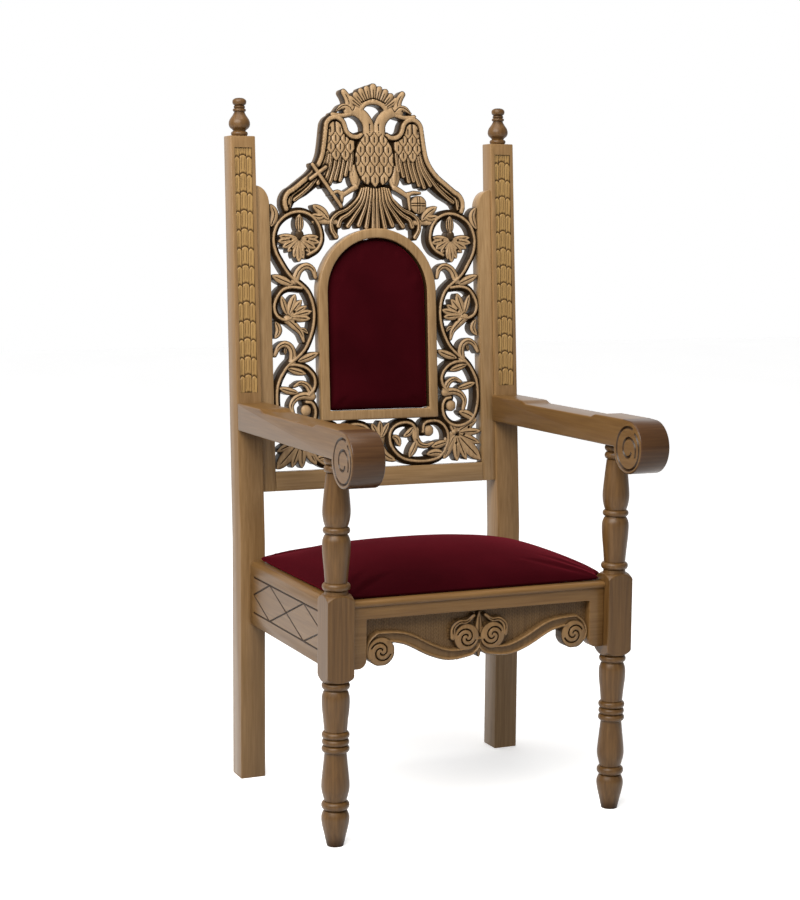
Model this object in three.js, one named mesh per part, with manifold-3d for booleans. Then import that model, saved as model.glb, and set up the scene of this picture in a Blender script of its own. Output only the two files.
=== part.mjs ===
// Church armchair: turned front posts, raked back posts, a pierced and carved back with a double-headed
// eagle over vine scrolls, and two velvet pads.
// Millimetres, +Z up, the front towards -Y, the origin under the middle.

import * as THREE from "three";
import { mergeVertices } from "three/addons/utils/BufferGeometryUtils.js";
import Module from "manifold-3d";

const wasm = await Module();
wasm.setup();

// Driving dimensions
const clearance = 0.3;
const overallWidth = 632;
const rearPost = { side: 52.4, height: 1300, bend: 485, setback: 58, topDepth: 41.4 };
const rake = Math.atan(rearPost.setback / (rearPost.height - rearPost.bend));
const leafStrip = { width: 36, bottom: 790, top: 1279, tiers: 13, depth: 4 };
const frontPost = { side: 51.8, x: 288, y: -444.7, blockBottom: 305, blockTop: 465, top: 714 };
const arm = { inner: 254, bottom: 714, top: 769, rollRadius: 50, rollY: -537 };
const armDish = { front: -403, back: -125, depth: 6, ramp: 14 };
const rail = { top: 450, sideBottom: 322, outer: 296, thickness: 28 };
const frontRail = { face: -452, thickness: 26, bottom: 414.5 };
const bracket = { bottom: 324, width: 31, round: 16 };
const apron = { face: -435, thickness: 12, relief: 13 };
const rearRail = { front: 8, thickness: 34, bottom: 345 };
const seat = { halfWidth: 282, front: -442, back: -2, crown: 58 };
const backFrame = { recess: 7, thickness: 32, inner: 234.5, bottom: 588, railTop: 627 };
const stileShoulder = { bottom: 1168, rise: 37 };
const arch = { outer: 132, inner: 112, bottom: 727, spring: 990, recess: 6 };
const fret = { recess: 9, board: 19, leaf: 21.5, ground: 22, crest: 28 };
const pad = { front: 16, thickness: 20, crown: 9 };

// Fineness of the curved work
const lathe = 8;
const stemStep = 30;
const quillStep = 38;
const knotAngle = 30;
const archSegments = 9;

// Joining and cutting

/** A closed geometry as a solid that can be joined and cut. */
function solidOf(geometry) {
  const bare = geometry.clone();
  bare.deleteAttribute("normal");
  bare.deleteAttribute("uv");
  const merged = mergeVertices(bare, 1e-3);
  const vertProperties = new Float32Array(merged.attributes.position.array);
  const triVerts = new Uint32Array(merged.index.array);
  return new wasm.Manifold(new wasm.Mesh({ numProp: 3, vertProperties, triVerts }));
}

/** The geometry of a joined or cut solid. */
function geometryOf(solid) {
  const mesh = solid.getMesh();
  const geometry = new THREE.BufferGeometry();
  geometry.setAttribute("position", new THREE.BufferAttribute(new Float32Array(mesh.vertProperties), 3));
  geometry.setIndex(new THREE.BufferAttribute(new Uint32Array(mesh.triVerts), 1));
  geometry.computeVertexNormals();
  return geometry;
}

const join = (geometries) => geometries.map(solidOf).reduce((sum, solid) => sum.add(solid));

/** The same geometry with its faces turned round. */
function turnedRound(geometry) {
  const copy = mergeVertices(geometry);
  const index = copy.index.array;
  for (let i = 0; i < index.length; i += 3) {
    [index[i + 1], index[i + 2]] = [index[i + 2], index[i + 1]];
  }
  return copy;
}

/** The same geometry on the other side of the chair's middle plane. */
const mirrored = (geometry) => turnedRound(geometry.clone().scale(-1, 1, 1));

/** The solid of a geometry that was swept or extruded either way round. */
function facingOut(geometry) {
  const solid = solidOf(geometry);
  return solid.volume() > 0 ? solid : solidOf(turnedRound(geometry));
}

/** A closed mesh from rings of points that are joined one to the next, with a flat cap at both ends. */
function loft(rings) {
  const sides = rings[0].length;
  const index = [];
  for (let r = 0; r + 1 < rings.length; r++) {
    for (let i = 0; i < sides; i++) {
      const [a, b] = [r * sides + i, r * sides + ((i + 1) % sides)];
      index.push(a, b, b + sides, a, b + sides, a + sides);
    }
  }
  const last = (rings.length - 1) * sides;
  for (let i = 1; i + 1 < sides; i++) {
    index.push(0, i + 1, i, last, last + i, last + i + 1);
  }
  const geometry = new THREE.BufferGeometry();
  geometry.setFromPoints(rings.flat());
  geometry.setIndex(index);
  return geometry;
}

// Materials

const wood = (color) => new THREE.MeshStandardMaterial({ color, roughness: 0.42, metalness: 0 });
const plainWood = () => wood(0x8c6d45);
const carvedWood = () => wood(0x7d5f3a);
const velvet = () => new THREE.MeshStandardMaterial({ color: 0x5c0a1c, roughness: 0.9, metalness: 0 });

const chair = new THREE.Group();

function addPiece(name, geometry, material, group = chair) {
  const mesh = new THREE.Mesh(geometry, material);
  mesh.name = name;
  group.add(mesh);
}

// The raked back: in this group X runs across, Y is the height along the slope and Z comes forward from the
// front face of the back posts.
const rakedBack = new THREE.Group();
rakedBack.position.set(0, -Math.sin(rake) * rearPost.bend, rearPost.bend * (1 - Math.cos(rake)));
rakedBack.rotation.x = Math.PI / 2 - rake;
chair.add(rakedBack);

/** A flat shape extruded along +Z from a given depth. */
function plate(shape, from, to, curveSegments = 8) {
  const options = { depth: to - from, bevelEnabled: false, curveSegments };
  return new THREE.ExtrudeGeometry(shape, options).translate(0, 0, from);
}

const outlineShape = (points) => new THREE.Shape(points.map(([x, y]) => new THREE.Vector2(x, y)));

/** A box between two corners. */
function block(low, high) {
  const size = high.map((value, i) => value - low[i]);
  return new THREE.BoxGeometry(...size).translate(...high.map((value, i) => (value + low[i]) / 2));
}

/** A flat shape in the (Y, Z) plane extruded across from one X to another. */
function acrossX(points, from, to) {
  return plate(outlineShape(points), from, to).rotateX(Math.PI / 2).rotateZ(Math.PI / 2);
}

// Carved strips

/**
 * Points along a chain of plain [x, z] points and arcs. An arc is
 * [centre x, centre z, start radius, end radius, start angle, end angle], in degrees.
 */
function route(chain, step, stations) {
  const knots = [];
  for (const link of chain) {
    if (link.length === 2) {
      knots.push(new THREE.Vector3(link[0], link[1], 0));
      continue;
    }
    const [x, z, startRadius, endRadius, start, end] = link;
    const count = Math.max(2, Math.round(Math.abs(end - start) / knotAngle));
    for (let i = 0; i <= count; i++) {
      const radius = THREE.MathUtils.lerp(startRadius, endRadius, i / count);
      const angle = THREE.MathUtils.degToRad(THREE.MathUtils.lerp(start, end, i / count));
      knots.push(new THREE.Vector3(x + radius * Math.cos(angle), z + radius * Math.sin(angle), 0));
    }
  }
  const curve = new THREE.CatmullRomCurve3(knots, false, "centripetal");
  return curve.getSpacedPoints(stations ?? Math.max(2, Math.round(curve.getLength() / step)));
}

/** A strip along a route: section(half) gives its corners as [side, level], anticlockwise from its end. */
function strip(points, halfWidth, section) {
  const rings = points.map((point, i) => {
    const before = points[Math.max(i - 1, 0)];
    const after = points[Math.min(i + 1, points.length - 1)];
    const along = after.clone().sub(before).normalize();
    const across = new THREE.Vector3(-along.y, along.x, 0);
    const corners = section(Math.max(halfWidth(i / (points.length - 1)), 0.7));
    return corners.map(([side, level]) => point.clone().addScaledVector(across, side).setZ(level));
  });
  return loft(rings);
}

/** Upright sides from the back up to a shoulder, and a roof that ends in a ridge. */
const roofed = (back, shoulder, ridge) => (half) =>
  [[half, back], [half, shoulder], [0, ridge], [-half, shoulder], [-half, back]];

/** Upright sides and a flat top. */
const flat = (back, top) => (half) => [[half, back], [half, top], [-half, top], [-half, back]];

/** A sharp ridge that stands on a board. */
const ridged = (foot, ridge) => (half) => [[half, foot], [0, ridge], [-half, foot]];

const stemSection = roofed(0, fret.ground, fret.crest);
const leafSection = flat(0, fret.leaf);
const quillSection = ridged(fret.board - 0.5, fret.crest);

/** A vine stem of even width with a crest along its middle. */
const stem = (chain, half = 8.5) => strip(route(chain, stemStep), () => half, stemSection);

/** A flat strip that narrows evenly from one end to the other. */
function taper(chain, startHalf, endHalf, stations = 2) {
  const half = (t) => THREE.MathUtils.lerp(startHalf, endHalf, t);
  return strip(route(chain, stemStep, stations), half, leafSection);
}

/** A leaf or petal from base to pointed tip. */
function leaf(chain, half, stations = 2) {
  const points = route(chain, stemStep, stations);
  const left = [];
  const right = [];
  points.slice(0, -1).forEach((point, i) => {
    const along = points[i + 1].clone().sub(points[Math.max(i - 1, 0)]).normalize();
    const side = half * Math.pow(Math.sin(Math.PI * (0.18 + (0.82 * i) / stations)), 0.8);
    left.push([point.x - along.y * side, point.y + along.x * side]);
    right.unshift([point.x + along.y * side, point.y - along.x * side]);
  });
  const tip = points.at(-1);
  return plate(outlineShape([...left, [tip.x, tip.y], ...right]), 0, fret.leaf);
}

/** A spray of leaves from one centre, anticlockwise, each given by its tip and half its width. */
function spray(centreX, centreZ, leaves) {
  const outline = [];
  leaves.forEach(([tipX, tipZ, half], i) => {
    const [x, z] = [tipX - centreX, tipZ - centreZ];
    const length = Math.hypot(x, z);
    const [alongX, alongZ] = [x / length, z / length];
    const shoulder = length * 0.6;
    outline.push([centreX + alongX * shoulder + alongZ * half, centreZ + alongZ * shoulder - alongX * half]);
    outline.push([tipX, tipZ]);
    outline.push([centreX + alongX * shoulder - alongZ * half, centreZ + alongZ * shoulder + alongX * half]);
    const [nextX, nextZ] = leaves[(i + 1) % leaves.length];
    const angle = Math.atan2(z, x);
    const turn = (Math.atan2(nextZ - centreZ, nextX - centreX) - angle + 2 * Math.PI) % (2 * Math.PI);
    const notch = length * 0.28;
    const between = angle + turn / 2;
    outline.push([centreX + notch * Math.cos(between), centreZ + notch * Math.sin(between)]);
  });
  return board(outline, fret.leaf);
}

/** The ridge of a long feather. */
function quill(chain, half = 3.6) {
  return strip(route(chain, quillStep), (t) => (t === 1 ? half * 0.4 : half), quillSection);
}

/** A round boss, narrower at the top. */
function boss(x, z, radius) {
  const disc = new THREE.CylinderGeometry(radius * 0.6, radius, fret.crest, 7);
  return disc.rotateX(Math.PI / 2).translate(x, z, fret.crest / 2);
}

/** An oval of the board, up to a level. */
function oval(x, z, radiusX, radiusZ, level, sides) {
  const disc = new THREE.CylinderGeometry(1, 1, level, sides);
  return disc.rotateX(Math.PI / 2).scale(radiusX, radiusZ, 1).translate(x, z, level / 2);
}

/** A flat area of the board inside an outline. */
const board = (points, level = fret.board) => plate(outlineShape(points), 0, level);

// Feather scales: shields that point down and stand highest near the tip
const scale = { width: 19, height: 22, row: 20.3 };

function featherScale(x, tip, ground) {
  const { width, height } = scale;
  const rim = [[0, 0], [0.5, 0.45], [0.4, 1], [-0.4, 1], [-0.5, 0.45]];
  const low = rim.map(([side, up]) => new THREE.Vector3(x + side * width, tip + up * height, ground - 0.5));
  const high = low.map(() => new THREE.Vector3(x, tip + height * 0.35, fret.crest));
  return loft([low, high]);
}

// The double-headed eagle

const eagleBody = { z: 1263, halfWidth: 44, halfHeight: 58, firstRow: 1310, rows: 6 };

function bodyScales() {
  const scales = [];
  for (let row = 0; row < eagleBody.rows; row++) {
    const tip = eagleBody.firstRow - row * scale.row;
    const columns = row % 2 ? [-2, -1, 0, 1, 2] : [-1.5, -0.5, 0.5, 1.5];
    for (const column of columns) {
      const x = column * scale.row;
      const middle = tip + scale.height / 2;
      const reach = Math.hypot(x / eagleBody.halfWidth, (middle - eagleBody.z) / eagleBody.halfHeight);
      if (reach < 0.92) scales.push(featherScale(x, tip, fret.leaf));
    }
  }
  return scales;
}

/** Half of the eagle: neck, head, wing, half of the tail and the thigh. */
function eagleHalf() {
  const head = [
    taper([[12, 1316], [13, 1334], [23, 1351], [40, 1361], [57, 1362]], 13, 10, 4),
    leaf([[52, 1362], [54, 1384], [58, 1403]], 7.5, 3),
    taper([[55, 1366], [70, 1369], [81, 1361]], 9, 3, 3),
    taper([[52, 1356], [70, 1352], [90, 1354]], 5, 6),
  ];
  const crown = [
    leaf([[8, 1384], [14, 1402], [19, 1415]], 6),
    leaf([[14, 1383], [24, 1399], [34, 1409]], 6),
    leaf([[20, 1380], [32, 1396], [54, 1402]], 6),
  ];
  const borderRoute = [
    [42, 1331, 22, 22, -90, -10], [86, 1326, 21, 21, 170, 0], [112, 1290], [117, 1267], [127, 1247],
    [142, 1229], [161, 1214], [172, 1172, 28, 28, 70, -28],
  ];
  const wingBorder = stem(borderRoute, 8);
  const wing = board([
    [40, 1305], [62, 1312], [70, 1336], [86, 1344], [102, 1334], [110, 1300], [116, 1266], [142, 1229],
    [190, 1190], [195, 1158], [184, 1160], [176, 1174], [150, 1188], [124, 1208], [118, 1202], [102, 1208],
    [90, 1220], [82, 1214], [72, 1216], [57, 1240], [46, 1244],
  ]);
  const scaleTips = [[86, 1311], [75, 1289], [97, 1289], [86, 1266]];
  const wingScales = scaleTips.map(([x, tip]) => featherScale(x, tip, fret.board));
  const primaries = [
    quill([[55, 1298], [53, 1268], [57, 1244]]),
    quill([[64, 1292], [64, 1262], [77, 1218]]),
    quill([[74, 1284], [75, 1258], [87, 1222]]),
    quill([[86, 1262], [91, 1240], [110, 1208]]),
    quill([[97, 1284], [105, 1246], [126, 1214]]),
    quill([[105, 1262], [124, 1232], [160, 1199], [187, 1180], [190, 1162]]),
  ];
  const tailBoard = board([
    [0, 1215], [34, 1212], [40, 1182], [60, 1164], [86, 1150], [100, 1128], [98, 1098], [84, 1100],
    [82, 1126], [70, 1134], [60, 1116], [48, 1130], [30, 1124], [0, 1118],
  ]);
  const tail = [
    quill([[5, 1203], [7, 1172], [26, 1132]]),
    quill([[14, 1203], [20, 1170], [58, 1122]]),
    quill([[24, 1202], [36, 1174], [72, 1148], [90, 1126], [91, 1106]], 4.5),
  ];
  const thigh = [
    leaf([[45, 1248], [43, 1226], [43, 1202]], 12, 3),
    taper([[43, 1208], [58, 1199], [74, 1188]], 6.5, 5.5),
    taper([[74, 1193], [77, 1161]], 5.5, 4),
  ];
  return [...head, ...crown, wingBorder, wing, ...wingScales, ...primaries, tailBoard, ...tail, ...thigh];
}

/** What the eagle has once: body, middle plume, crown rim, an orb in one claw and a staff in the other. */
function eagleMiddle() {
  const orb = [boss(98, 1172, 20), taper([[72, 1189], [84, 1196], [101, 1196]], 5.5, 4)];
  const staff = [
    taper([[-137, 1248], [-77, 1166]], 4.5, 4.5, 1),
    taper([[-141, 1222], [-111, 1243]], 4.5, 4.5, 1),
    taper([[-72, 1189], [-84, 1196], [-98, 1191]], 5.5, 4),
  ];
  return [
    oval(0, eagleBody.z, eagleBody.halfWidth, eagleBody.halfHeight, fret.leaf, 14),
    ...bodyScales(),
    taper([[-33, 1358], [-18, 1379], [0, 1383], [18, 1379], [33, 1358]], 6, 6, 4),
    leaf([[0, 1382], [0, 1402], [0, 1420]], 7),
    ...orb,
    ...staff,
  ];
}

// Half of the vine beside and under the arch

function vineStems() {
  return [
    stem([
      [163, 750, 14, 20, 20, 180], [186, 751, 43, 43, 190, 355], [184, 798, 44, 44, 0, 55],
      [184, 957, 43, 43, 222, 125], [173, 1104, 52, 46, -35, 245],
    ]),
    stem([[184, 960, 43, 43, 115, 0], [205, 957, 22, 21, -20, -115]]),
    stem([[183, 802, 41, 41, 70, 225]]),
    stem([
      [112, 698, 15, 22, 190, 90], [118, 684, 37, 37, 75, -65], [90, 636], [50, 642], [27, 660], [20, 685],
      [30, 710], [50, 719], [70, 714], [80, 698],
    ]),
    boss(163, 750, 13),
    boss(111, 698, 13),
  ];
}

function upperLeaves() {
  const flower = [
    boss(171, 1110, 12),
    spray(171, 1106, [
      [218, 1096, 11.5], [170, 1151, 9.5], [126, 1094, 11.5], [145, 1081, 9], [172, 1054, 11.5],
      [197, 1069, 10],
    ]),
  ];
  const besideRoundel = [
    leaf([[104, 1138], [120, 1156], [140, 1166]], 9),
    taper([[86, 1138], [138, 1136]], 7, 7, 1),
    leaf([[231, 1122], [222, 1148], [231, 1169]], 9),
  ];
  const betweenScrolls = [
    leaf([[180, 1016], [171, 1034], [156, 1043], [143, 1037], [137, 1022]], 8.5, 4),
    leaf([[188, 1006], [208, 1015], [232, 1026]], 8.5),
  ];
  return [...flower, ...besideRoundel, ...betweenScrolls];
}

function middleLeaves() {
  return [
    spray(199, 937, [[212, 986, 8], [177, 990, 9.5], [146, 945, 10.5], [167, 889, 9], [224, 900, 8.5]]),
    leaf([[194, 846], [190, 866], [193, 879], [206, 886], [220, 880], [229, 864]], 8.5, 5),
    leaf([[178, 848], [156, 858], [134, 866]], 8.5),
    leaf([[203, 836], [184, 829], [164, 824]], 8),
    leaf([[178, 784], [198, 790], [220, 797]], 8),
    leaf([[152, 777], [170, 779], [187, 773], [196, 760], [190, 742]], 9, 4),
  ];
}

function lowerLeaves() {
  const corner = [
    spray(178, 691, [
      [233, 694, 8], [226, 720, 9.5], [163, 712, 8], [144, 637, 10.5], [176, 633, 9], [231, 633, 13],
      [227, 671, 8],
    ]),
    taper([[150, 676], [180, 704]], 7, 8, 1),
  ];
  const insideScrolls = [
    leaf([[220, 718], [203, 730], [183, 737]], 9.5),
    leaf([[82, 680], [76, 664], [64, 644]], 9),
    leaf([[80, 704], [80, 686], [89, 672], [104, 667], [122, 674]], 9, 4),
    leaf([[154, 672], [138, 668], [118, 664]], 9),
    leaf([[146, 648], [128, 652], [104, 649]], 9),
  ];
  const lily = [leaf([[4, 688], [11, 702], [20, 719]], 6.5), leaf([[1, 676], [10, 652], [32, 638]], 8)];
  return [...corner, ...insideScrolls, ...lily];
}

/** The lily in the middle under the arch. */
function lilyMiddle() {
  return [
    leaf([[0, 686], [0, 706], [0, 726]], 7),
    taper([[0, 694], [0, 660]], 15, 9, 1),
    leaf([[0, 674], [0, 655], [0, 634]], 8),
  ];
}

// The arch and what it holds

function archShape(halfWidth, bottom) {
  const shape = new THREE.Shape();
  shape.moveTo(-halfWidth, bottom);
  shape.lineTo(halfWidth, bottom);
  shape.lineTo(halfWidth, arch.spring);
  shape.absarc(0, arch.spring, halfWidth, 0, Math.PI, false);
  shape.closePath();
  return shape;
}

const frameWidth = arch.outer - arch.inner;

function carvedPanel() {
  const half = [...eagleHalf(), ...vineStems(), ...upperLeaves(), ...middleLeaves(), ...lowerLeaves()];
  const whole = join([...half, ...half.map(mirrored), ...eagleMiddle(), ...lilyMiddle()]);
  const edge = backFrame.inner - clearance;
  const room = block([-edge, backFrame.railTop + clearance, -1], [edge, 1500, fret.crest + 1]);
  const archRoom = archShape(arch.outer + clearance, arch.bottom - clearance);
  const hole = plate(archRoom, -1, fret.crest + 1, archSegments);
  return geometryOf(whole.intersect(solidOf(room)).subtract(solidOf(hole)));
}

const fretBack = -fret.recess - fret.crest;
addPiece("carved_back_panel", carvedPanel().translate(0, 0, fretBack), carvedWood(), rakedBack);

function archFrame() {
  const shape = archShape(arch.outer, arch.bottom);
  shape.holes.push(archShape(arch.inner, arch.bottom + frameWidth));
  return plate(shape, -arch.recess - backFrame.thickness, -arch.recess, archSegments);
}

addPiece("arch_frame", archFrame(), plainWood(), rakedBack);

/** A padded form over an outline: each ring is the outline drawn in towards a middle height, at a level. */
function domed(outline, middle, levels) {
  const drawnIn = ([x, y], size, level) => new THREE.Vector3(x * size, middle + (y - middle) * size, level);
  return loft(levels.map(([size, level]) => outline.map((point) => drawnIn(point, size, level))));
}

function backPad() {
  const half = arch.inner - clearance;
  const shape = archShape(half, arch.bottom + frameWidth + clearance);
  const outline = shape.getPoints(archSegments).slice(0, -1).map((point) => [point.x, point.y]);
  const rise = (share) => -pad.front + pad.crown * share;
  const back = rise(0) - pad.thickness;
  const levels = [[1, back], [1, rise(0)], [0.93, rise(0.6)], [0.6, rise(0.95)], [0.1, rise(1)]];
  return domed(outline, (arch.bottom + arch.spring + arch.inner) / 2, levels);
}

addPiece("back_pad", backPad(), velvet(), rakedBack);

function backStile() {
  const { inner, bottom, recess, thickness } = backFrame;
  const outer = overallWidth / 2 - rearPost.side - clearance;
  const { bottom: spring, rise } = stileShoulder;
  const shape = new THREE.Shape();
  shape.moveTo(inner, bottom);
  shape.lineTo(outer, bottom);
  shape.lineTo(outer, spring + rise);
  shape.absellipse(outer, spring, outer - inner, rise, Math.PI / 2, Math.PI, false);
  shape.closePath();
  return plate(shape, -recess - thickness, -recess, 6);
}

addPiece("back_stile_right", backStile(), plainWood(), rakedBack);
addPiece("back_stile_left", mirrored(backStile()), plainWood(), rakedBack);

const bottomRailEnd = backFrame.inner - clearance;
addPiece(
  "back_bottom_rail",
  block(
    [-bottomRailEnd, backFrame.bottom, -backFrame.recess - backFrame.thickness],
    [bottomRailEnd, backFrame.railTop, -backFrame.recess],
  ),
  plainWood(),
  rakedBack,
);

// Back posts with their strip of leaf tiers

const tierHeight = (leafStrip.top - leafStrip.bottom) / (leafStrip.tiers + 0.4);

/** The carved strip: tiers of three leaves that lean out towards their scalloped top edges. */
function leafTiers(x) {
  const lobes = [[1, -5], [0.4, -4], [0, 0], [-0.4, -4], [-1, -5]];
  const [low, high] = [leafStrip.bottom - 0.5, leafStrip.top + 0.5];
  const [behind, foot, tip] = [-leafStrip.depth - 1, -leafStrip.depth + 0.6, -0.6];
  const rings = lobes.map(([side, rise]) => {
    const outline = [[high, behind], [low, behind], [low, foot]];
    for (let tier = 1; tier <= leafStrip.tiers; tier++) {
      const edge = leafStrip.bottom + tier * tierHeight + rise;
      outline.push([edge - 2, tip], [edge, foot]);
    }
    outline.push([high, tip]);
    const across = x + (side * leafStrip.width) / 2;
    return outline.map(([height, level]) => new THREE.Vector3(across, height, level));
  });
  return loft(rings);
}

function rearPostGeometry() {
  const { side, height, bend, setback, topDepth } = rearPost;
  const outer = overallWidth / 2;
  const topBack = setback + topDepth;
  const profile = [[0, 0], [side, 0], [side, bend], [topBack, height], [setback, height], [0, bend]];
  const post = acrossX(profile, outer - side, outer);
  const middle = outer - side / 2;
  const half = leafStrip.width / 2;
  const { bottom, top, depth } = leafStrip;
  const recess = block([middle - half, bottom, -depth], [middle + half, top, 5]);
  rakedBack.updateMatrix();
  const lean = (geometry) => facingOut(geometry.applyMatrix4(rakedBack.matrix));
  return geometryOf(solidOf(post).subtract(lean(recess)).add(lean(leafTiers(middle))));
}

const rearPostRight = rearPostGeometry();
addPiece("rear_post_right", rearPostRight, plainWood());
addPiece("rear_post_left", mirrored(rearPostRight), plainWood());

// Turned work: a profile is a list of coves and vases given as [height, radius] points, and of round beads
// given as [lower height, upper height, radius]

function turned(steps) {
  const profile = [];
  for (const step of steps) {
    if (step.length === 2) {
      profile.push(new THREE.Vector2(step[1], step[0]));
      continue;
    }
    const [low, high, radius] = step;
    const round = (high - low) * 0.2;
    profile.push(new THREE.Vector2(radius, low + round), new THREE.Vector2(radius, high - round));
  }
  const closed = [new THREE.Vector2(0, profile[0].y), ...profile, new THREE.Vector2(0, profile.at(-1).y)];
  return new THREE.LatheGeometry(closed, lathe, Math.PI / lathe).rotateX(Math.PI / 2);
}

const finialTurning = [
  [0, 16], [8, 16.5], [10, 13], [19, 20.5], [29, 21], [47, 11], [52, 13], [58, 9.5],
  [63, 13.5], [71, 13.5], [75, 8],
];

const legTurning = [
  [0, 15.5], [38, 24.4], [52, 25.9], [66, 21],
  [68, 84, 25.8], [86, 21.5],
  [106, 25.9], [122, 25.5], [170, 20.8],
  [180, 25], [186, 22], [194, 24.6], [201, 22], [208, 25.4], [216, 21.4],
  [262, 25.4], [278, 25.4], [288, 21.4],
  [291, 304, 25.9],
];

const balusterTurning = [
  [469, 22], [472, 486, 25.9],
  [490, 21.2], [546, 25.6], [562, 25.6], [572, 21.6],
  [575, 587, 24.8], [589, 22],
  [606, 25.6], [622, 25.4], [682, 20.4],
  [691, 23.2], [699, 20.4], [706, 23.2],
];

/** Turned from one square length: the lathe leaves the corners of the block and rounds off its ends. */
function frontPostGeometry() {
  const { side, x, y, blockBottom, blockTop, top } = frontPost;
  const corner = side * 0.72;
  const blockTurning = [
    [blockBottom + 1, 25.6], [blockBottom + 5, 31], [blockBottom + 11, corner],
    [blockTop - 13, corner], [blockTop - 5, 31.5], [blockTop - 1, 26],
  ];
  const tip = [top - clearance, 21.5];
  const round = solidOf(turned([...legTurning, ...blockTurning, ...balusterTurning, tip]));
  const square = solidOf(block([-side / 2, -side / 2, -1], [side / 2, side / 2, top]));
  return geometryOf(round.intersect(square)).translate(x, y, 0);
}

const frontPostRight = frontPostGeometry();
addPiece("front_post_right", frontPostRight, plainWood());
addPiece("front_post_left", mirrored(frontPostRight), plainWood());

const finialRight = turned(finialTurning).translate(
  (overallWidth - rearPost.side) / 2,
  rearPost.setback + rearPost.topDepth / 2,
  rearPost.height + clearance,
);
addPiece("finial_right", finialRight, plainWood());
addPiece("finial_left", mirrored(finialRight), plainWood());

// Arms

const armGroove = { width: 6, depth: 3 };

/** The front face of a back post at a height. */
const postFace = (z) => Math.max(0, z - rearPost.bend) * Math.tan(rake);

/** The solid of a groove with a sharp bottom, along an arc on a side face of the arm. */
function sideGroove(arc, faceX, inward) {
  const groove = strip(route([arc], 0, 7), () => armGroove.width / 2, ridged(0.5, -armGroove.depth));
  const onFace = groove.rotateX(Math.PI / 2).rotateZ(Math.PI / 2).scale(-inward, 1, 1);
  return facingOut(onFace.translate(faceX, 0, 0));
}

function armGeometry() {
  const outer = overallWidth / 2;
  const { inner, bottom, top, rollRadius, rollY } = arm;
  const rollZ = top - 1 - rollRadius;
  const profile = [[postFace(bottom) - clearance, bottom]];
  const start = Math.asin((bottom - rollZ) / rollRadius);
  const turns = 11;
  for (let i = 0; i <= turns; i++) {
    const angle = start - ((start + Math.PI * 1.5) * i) / turns;
    profile.push([rollY + rollRadius * Math.cos(angle), rollZ + rollRadius * Math.sin(angle)]);
  }
  const { front, back, depth, ramp } = armDish;
  profile.push([front - ramp, top], [front, top - depth], [back, top - depth], [back + ramp, top]);
  profile.push([postFace(top) - clearance, top]);
  const ring = [rollY - 4, rollZ - 3, 42, 38, 95, -60];
  const spiral = [rollY - 4, rollZ - 4, 25, 17, -150, -430];
  const cuts = [sideGroove(ring, outer, -1), sideGroove(spiral, outer, -1), sideGroove(ring, inner, 1)];
  const body = facingOut(acrossX(profile, inner, outer));
  return geometryOf(cuts.reduce((rest, cut) => rest.subtract(cut), body));
}

const armRight = armGeometry();
addPiece("arm_right", armRight, plainWood());
addPiece("arm_left", mirrored(armRight), plainWood());

// Seat rails

const cutLine = { width: 4, depth: 2.2, upper: 421, lower: 349, first: -395, last: -22 };

/** A V-shaped cut in the outer face of the right side rail, from one (y, z) point to another. */
function railCut([startY, startZ], [endY, endZ]) {
  const along = new THREE.Vector3(0, endY - startY, endZ - startZ).normalize();
  const across = new THREE.Vector3(0, -along.z, along.y).multiplyScalar(cutLine.width / 2);
  const face = rail.outer;
  const section = (y, z) => [
    new THREE.Vector3(face + 0.5, y, z).add(across),
    new THREE.Vector3(face - cutLine.depth, y, z),
    new THREE.Vector3(face + 0.5, y, z).sub(across),
  ];
  return facingOut(loft([section(startY, startZ), section(endY, endZ)]));
}

function sideRailGeometry() {
  const { top, sideBottom, outer, thickness } = rail;
  const front = frontPost.y + frontPost.side / 2 + clearance;
  const back = -clearance;
  const chamfer = 7;
  const inner = outer - thickness;
  const section = [
    [inner, sideBottom], [outer, sideBottom], [outer, top - chamfer], [outer - chamfer, top], [inner, top],
  ];
  const body = facingOut(plate(outlineShape(section), -back, -front).rotateX(Math.PI / 2));
  const { upper, lower, first, last } = cutLine;
  const quarter = (last - first) / 4;
  const middle = (upper + lower) / 2;
  const cuts = [railCut([first, upper], [last, upper]), railCut([first, lower], [last, lower])];
  for (const bottomEdge of [1, -1]) {
    const edge = middle + (bottomEdge * (upper - lower)) / 2;
    for (let i = 0; i < 4; i += 2) {
      const start = first + i * quarter;
      const corner = [start + quarter, edge];
      cuts.push(railCut([start, middle], corner), railCut(corner, [start + 2 * quarter, middle]));
    }
  }
  return geometryOf(cuts.reduce((sum, cut) => sum.subtract(cut), body));
}

const sideRailRight = sideRailGeometry();
addPiece("side_rail_right", sideRailRight, plainWood());
addPiece("side_rail_left", mirrored(sideRailRight), plainWood());

const blockInner = frontPost.x - frontPost.side / 2 - clearance;

/** A flat shape in the (X, Z) plane, extruded backwards from a front face. */
function standing(shape, face, thickness, curveSegments = 6) {
  return plate(shape, 0, thickness, curveSegments).rotateX(Math.PI / 2).translate(0, face + thickness, 0);
}

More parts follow.
